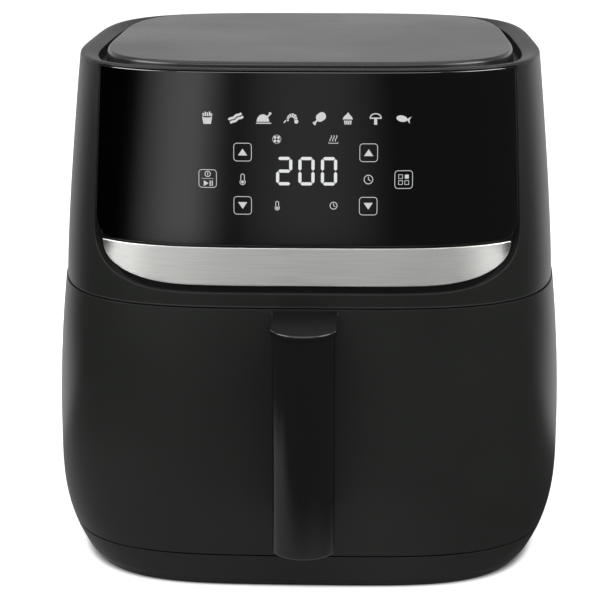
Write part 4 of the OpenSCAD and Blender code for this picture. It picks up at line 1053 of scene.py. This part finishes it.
def smoother():
    """Geometry nodes that join a CAD mesh's faces and smooth them across shallow edges."""
    tree = bpy.data.node_groups.new("smooth_shallow_edges", "GeometryNodeTree")
    for way in ("INPUT", "OUTPUT"):
        tree.interface.new_socket("Geometry", in_out=way, socket_type="NodeSocketGeometry")
    start, merge, angle, sharp, normals, end = (tree.nodes.new(kind) for kind in (
        "NodeGroupInput", "GeometryNodeMergeByDistance", "GeometryNodeInputMeshEdgeAngle",
        "FunctionNodeCompare", "GeometryNodeSetMeshNormal", "NodeGroupOutput"))
    merge.inputs["Distance"].default_value = 1e-5
    sharp.operation = "GREATER_THAN"
    sharp.inputs["B"].default_value = math.radians(SMOOTH_BELOW)
    normals.mode = "SHARPNESS"
    for a, b in (
        (start.outputs[0], merge.inputs["Geometry"]),
        (merge.outputs[0], normals.inputs["Mesh"]),
        (angle.outputs["Unsigned Angle"], sharp.inputs["A"]),
        (sharp.outputs[0], normals.inputs["Edge Sharpness"]),
        (normals.outputs[0], end.inputs[0]),
    ):
        tree.links.new(a, b)
    return tree


def dress(node, material, smooth):
    """Gives a CAD node its material, smooth curved faces and fine rounded edges."""
    piece = nodes[node]
    piece.data.materials.clear()
    piece.data.materials.append(material)
    piece.modifiers.new("smooth", "NODES").node_group = smooth
    if node not in FINE:
        modifier = piece.modifiers.new("edges", "BEVEL")
        modifier.width = BEVEL_W * MM
        modifier.segments = 2
        modifier.limit_method = "ANGLE"
        modifier.angle_limit = math.radians(BEVEL_FROM)
        modifier.harden_normals = True


smooth_tree = smoother()
for material, names in KEPT:
    for node in names.split():
        dress(node, material, smooth_tree)

# ---- Studio ----

# Lengths are in metres, and turns in degrees to the right of straight ahead.
# A fade is the start and the end of a soft step, then the level before it and after it.
FLOOR_HALF, FLOOR_WHITE, FLOOR_MIRRORED = 9.0, 0.85, 0.25
CONTACT_REACH, CONTACT_FADE, BACKDROP_FADE = 0.007, (0.1, 0.75), (0.4, 1.8, 0.62, 0.8)
DIM = 0.062
FLAG_HALF, FLAG_BACK, FLAG_Z = 0.75, 0.1, 0.0015
SHEET, SHEET_LEFT = 0.46, 0.11
SHEET_SIDE_FADE, SHEET_FRONT_FADE = (0.14, 0.29, 1.0, 0.0), (-0.37, -0.23)
SCREEN_R, SCREEN_H, SCREEN_SPAN = 0.62, 0.44, 150.0
# Each strip of light: the turns of its rise and of its fall, and its level
STRIPS = ((-56, -23, -22, -8, 0.75), (-12, -1, -1, 12, 0.235))
STRIP_LOW_FADE, DIM_FADE = (0.11, 0.2), (-66, -44, 0.0, DIM)
SCREEN_END_FADE = (98, 136, 0.0, 0.9)
SIDE_R, SIDE_LOW, SIDE_HIGH = 0.8, 0.46, 0.9
SIDE_START, SIDE_FULL, SIDE_END, SIDE_GLOW = 34.0, 53.0, 86.0, 11.5
SKY_FADE = (0.0, 0.3, 0.9, 0.38)
# Name, place, aim, size and power in watts
LAMPS = (
    ("lamp_top", (0, 0.1, 2.2), (0, 0.1, 0), (2.4, 2.4), 26),
    ("lamp_front", (0, -1.3, 1.25), (0, 0, 0.2), (1.6, 0.5), 11),
    ("lamp_left", (-1.46, -0.45, 1.2), (0, 0, 0.2), (0.9, 0.7), 7),
    ("lamp_right", (1.46, -0.45, 1.2), (0, 0, 0.2), (0.9, 0.7), 7),
)
# In mm and degrees
CAMERA_AT, CAMERA_DOWN, CAMERA_TURN = (24.388, -1109.581, 431.876), 15.172, 1.655
LENS, SENSOR = 103.66, 36.0


def stage_net(name):
    """Material of a stage piece, its empty node tree and its object coordinates."""
    material = bpy.data.materials.new(name)
    net = Net(material, "OutputMaterial")
    return material, net, net.add("TexCoord").outputs["Object"]


def add_stage(name, points, faces, material, reflections_only=False):
    mesh = bpy.data.meshes.new(name)
    mesh.from_pydata(points, [], faces)
    mesh.materials.append(material)
    piece = add_object(name, mesh)
    if reflections_only:
        piece.visible_camera = piece.visible_diffuse = piece.visible_shadow = False
        piece.visible_transmission = False


def level_card(name, half, back, z, material, reflections_only=False):
    points = [(-half, -half, z), (half, -half, z), (half, back, z), (-half, back, z)]
    add_stage(name, points, [(0, 1, 2, 3)], material, reflections_only)


def bent_card(name, radius, low, high, start, end, material):
    """Upright card bent round the object, between two turns."""
    turns = np.radians(np.linspace(start, end, 61))
    points = [(radius * math.sin(t), -radius * math.cos(t), z) for z in (low, high) for t in turns]
    n = len(turns)
    faces = [(i, i + 1, n + i + 1, n + i) for i in range(n - 1)]
    add_stage(name, points, faces, material, True)


def build_floor():
    """White floor: its own light carries the background, and it keeps the object's shadow,
    darkened close to the object by a painted contact shadow.
    """
    material, net, where = stage_net("studio_floor")
    # Painted contact shadow: ambient occlusion darkens the floor's colour and its own light close
    # to the object
    open_sky = net.add("AmbientOcclusion", Distance=CONTACT_REACH)
    contact = net.step(open_sky.outputs["AO"], *CONTACT_FADE)
    plain = net.add("BsdfDiffuse", net.times(contact, FLOOR_WHITE))
    away = net.add("VectorMath", where, operation="LENGTH")
    backdrop = net.step(away.outputs["Value"], *BACKDROP_FADE)
    # One level for the camera, another for mirrors and clear glass
    path = net.add("LightPath").outputs
    indirect = net.math("MAXIMUM", path["Is Glossy Ray"], path["Is Transmission Ray"])
    direct = net.times(path["Is Camera Ray"], backdrop)
    level = net.math("ADD", direct, net.times(indirect, FLOOR_MIRRORED))
    glow = net.glow(net.times(level, contact))
    net.show(net.add("AddShader", plain.outputs[0], glow).outputs[0])
    level_card("studio_floor", FLOOR_HALF, FLOOR_HALF, 0.0, material)


def build_flag():
    """Dark card on the floor in front, with a soft-edged paler sheet, for reflections only."""
    material, net, where = stage_net("studio_flag")
    xyz = net.split(where)
    aside = net.math("ABSOLUTE", net.math("ADD", xyz[0], SHEET_LEFT))
    across = net.step(aside, *SHEET_SIDE_FADE)
    ahead = net.step(xyz[1], *SHEET_FRONT_FADE)
    sheet = net.times(net.times(across, ahead), SHEET - DIM)
    net.show(net.glow(net.math("ADD", sheet, DIM)))
    level_card("studio_flag", FLAG_HALF, FLAG_BACK, FLAG_Z, material, True)


def build_screen():
    """Bent screen round the object with two soft strips of light, for reflections only."""
    material, net, where = stage_net("studio_screen")
    xyz = net.split(where)
    turn = net.math("ARCTAN2", xyz[0], net.times(xyz[1], -1.0))
    turn = net.times(turn, 180 / math.pi)
    bands = []
    for start, full, fade, end, level in STRIPS:
        rise, fall = net.step(turn, start, full), net.step(turn, fade, end, 1.0, 0.0)
        bands.append(net.times(net.times(rise, fall), level))
    bands = net.times(net.math("ADD", *bands), net.step(xyz[2], *STRIP_LOW_FADE))
    level = net.math("ADD", bands, net.step(turn, *DIM_FADE))
    ends = net.step(net.math("ABSOLUTE", turn), *SCREEN_END_FADE)
    net.show(net.glow(net.math("ADD", level, ends)))
    bent_card("studio_screen", SCREEN_R, 0.0, SCREEN_H, -SCREEN_SPAN, SCREEN_SPAN, material)


def build_side_cards():
    """Bright cards, so high that only the brushed steel spreads far enough to catch them."""
    material, net, where = stage_net("studio_side")
    xyz = net.split(where)
    turn = net.math("ARCTAN2", net.math("ABSOLUTE", xyz[0]), net.times(xyz[1], -1.0))
    start, full = math.radians(SIDE_START), math.radians(SIDE_FULL)
    net.show(net.glow(net.step(turn, start, full, 0.0, SIDE_GLOW)))
    for name, sign in (("studio_side_left", -1), ("studio_side_right", 1)):
        start, end = sign * SIDE_START, sign * SIDE_END
        bent_card(name, SIDE_R, SIDE_LOW, SIDE_HIGH, start, end, material)


def build_world():
    """White near the horizon and dimmer overhead; the camera sees plain white."""
    world = bpy.data.worlds.new("studio")
    bpy.context.scene.world = world
    net = Net(world, "OutputWorld")
    up = net.split(net.add("TexCoord").outputs["Generated"])[2]
    room = net.add("Background", net.step(up, *SKY_FADE))
    white = net.add("Background", Color=(1, 1, 1, 1))
    seen = net.add("LightPath").outputs["Is Camera Ray"]
    net.show(net.add("MixShader", seen, room.outputs[0], white.outputs[0]).outputs[0])


def add_lamp(name, where, target, size, power):
    light = bpy.data.lights.new(name, "AREA")
    light.shape = "RECTANGLE"
    light.size, light.size_y = size
    light.energy = power
    lamp = add_object(name, light)
    lamp.location = where
    lamp.rotation_euler = (Vector(target) - Vector(where)).to_track_quat("-Z", "Y").to_euler()


def build_camera():
    camera = bpy.data.cameras.new("camera")
    camera.lens, camera.sensor_width, camera.clip_end = LENS, SENSOR, 60
    view = add_object("camera", camera)
    view.location = place(CAMERA_AT).tolist()
    view.rotation_euler = (math.radians(90 - CAMERA_DOWN), 0, math.radians(CAMERA_TURN))
    bpy.context.scene.camera = view


build_floor()
build_flag()
build_screen()
build_side_cards()
build_world()
for lamp in LAMPS:
    add_lamp(*lamp)
build_camera()
bpy.context.scene.view_settings.view_transform = "Standard"
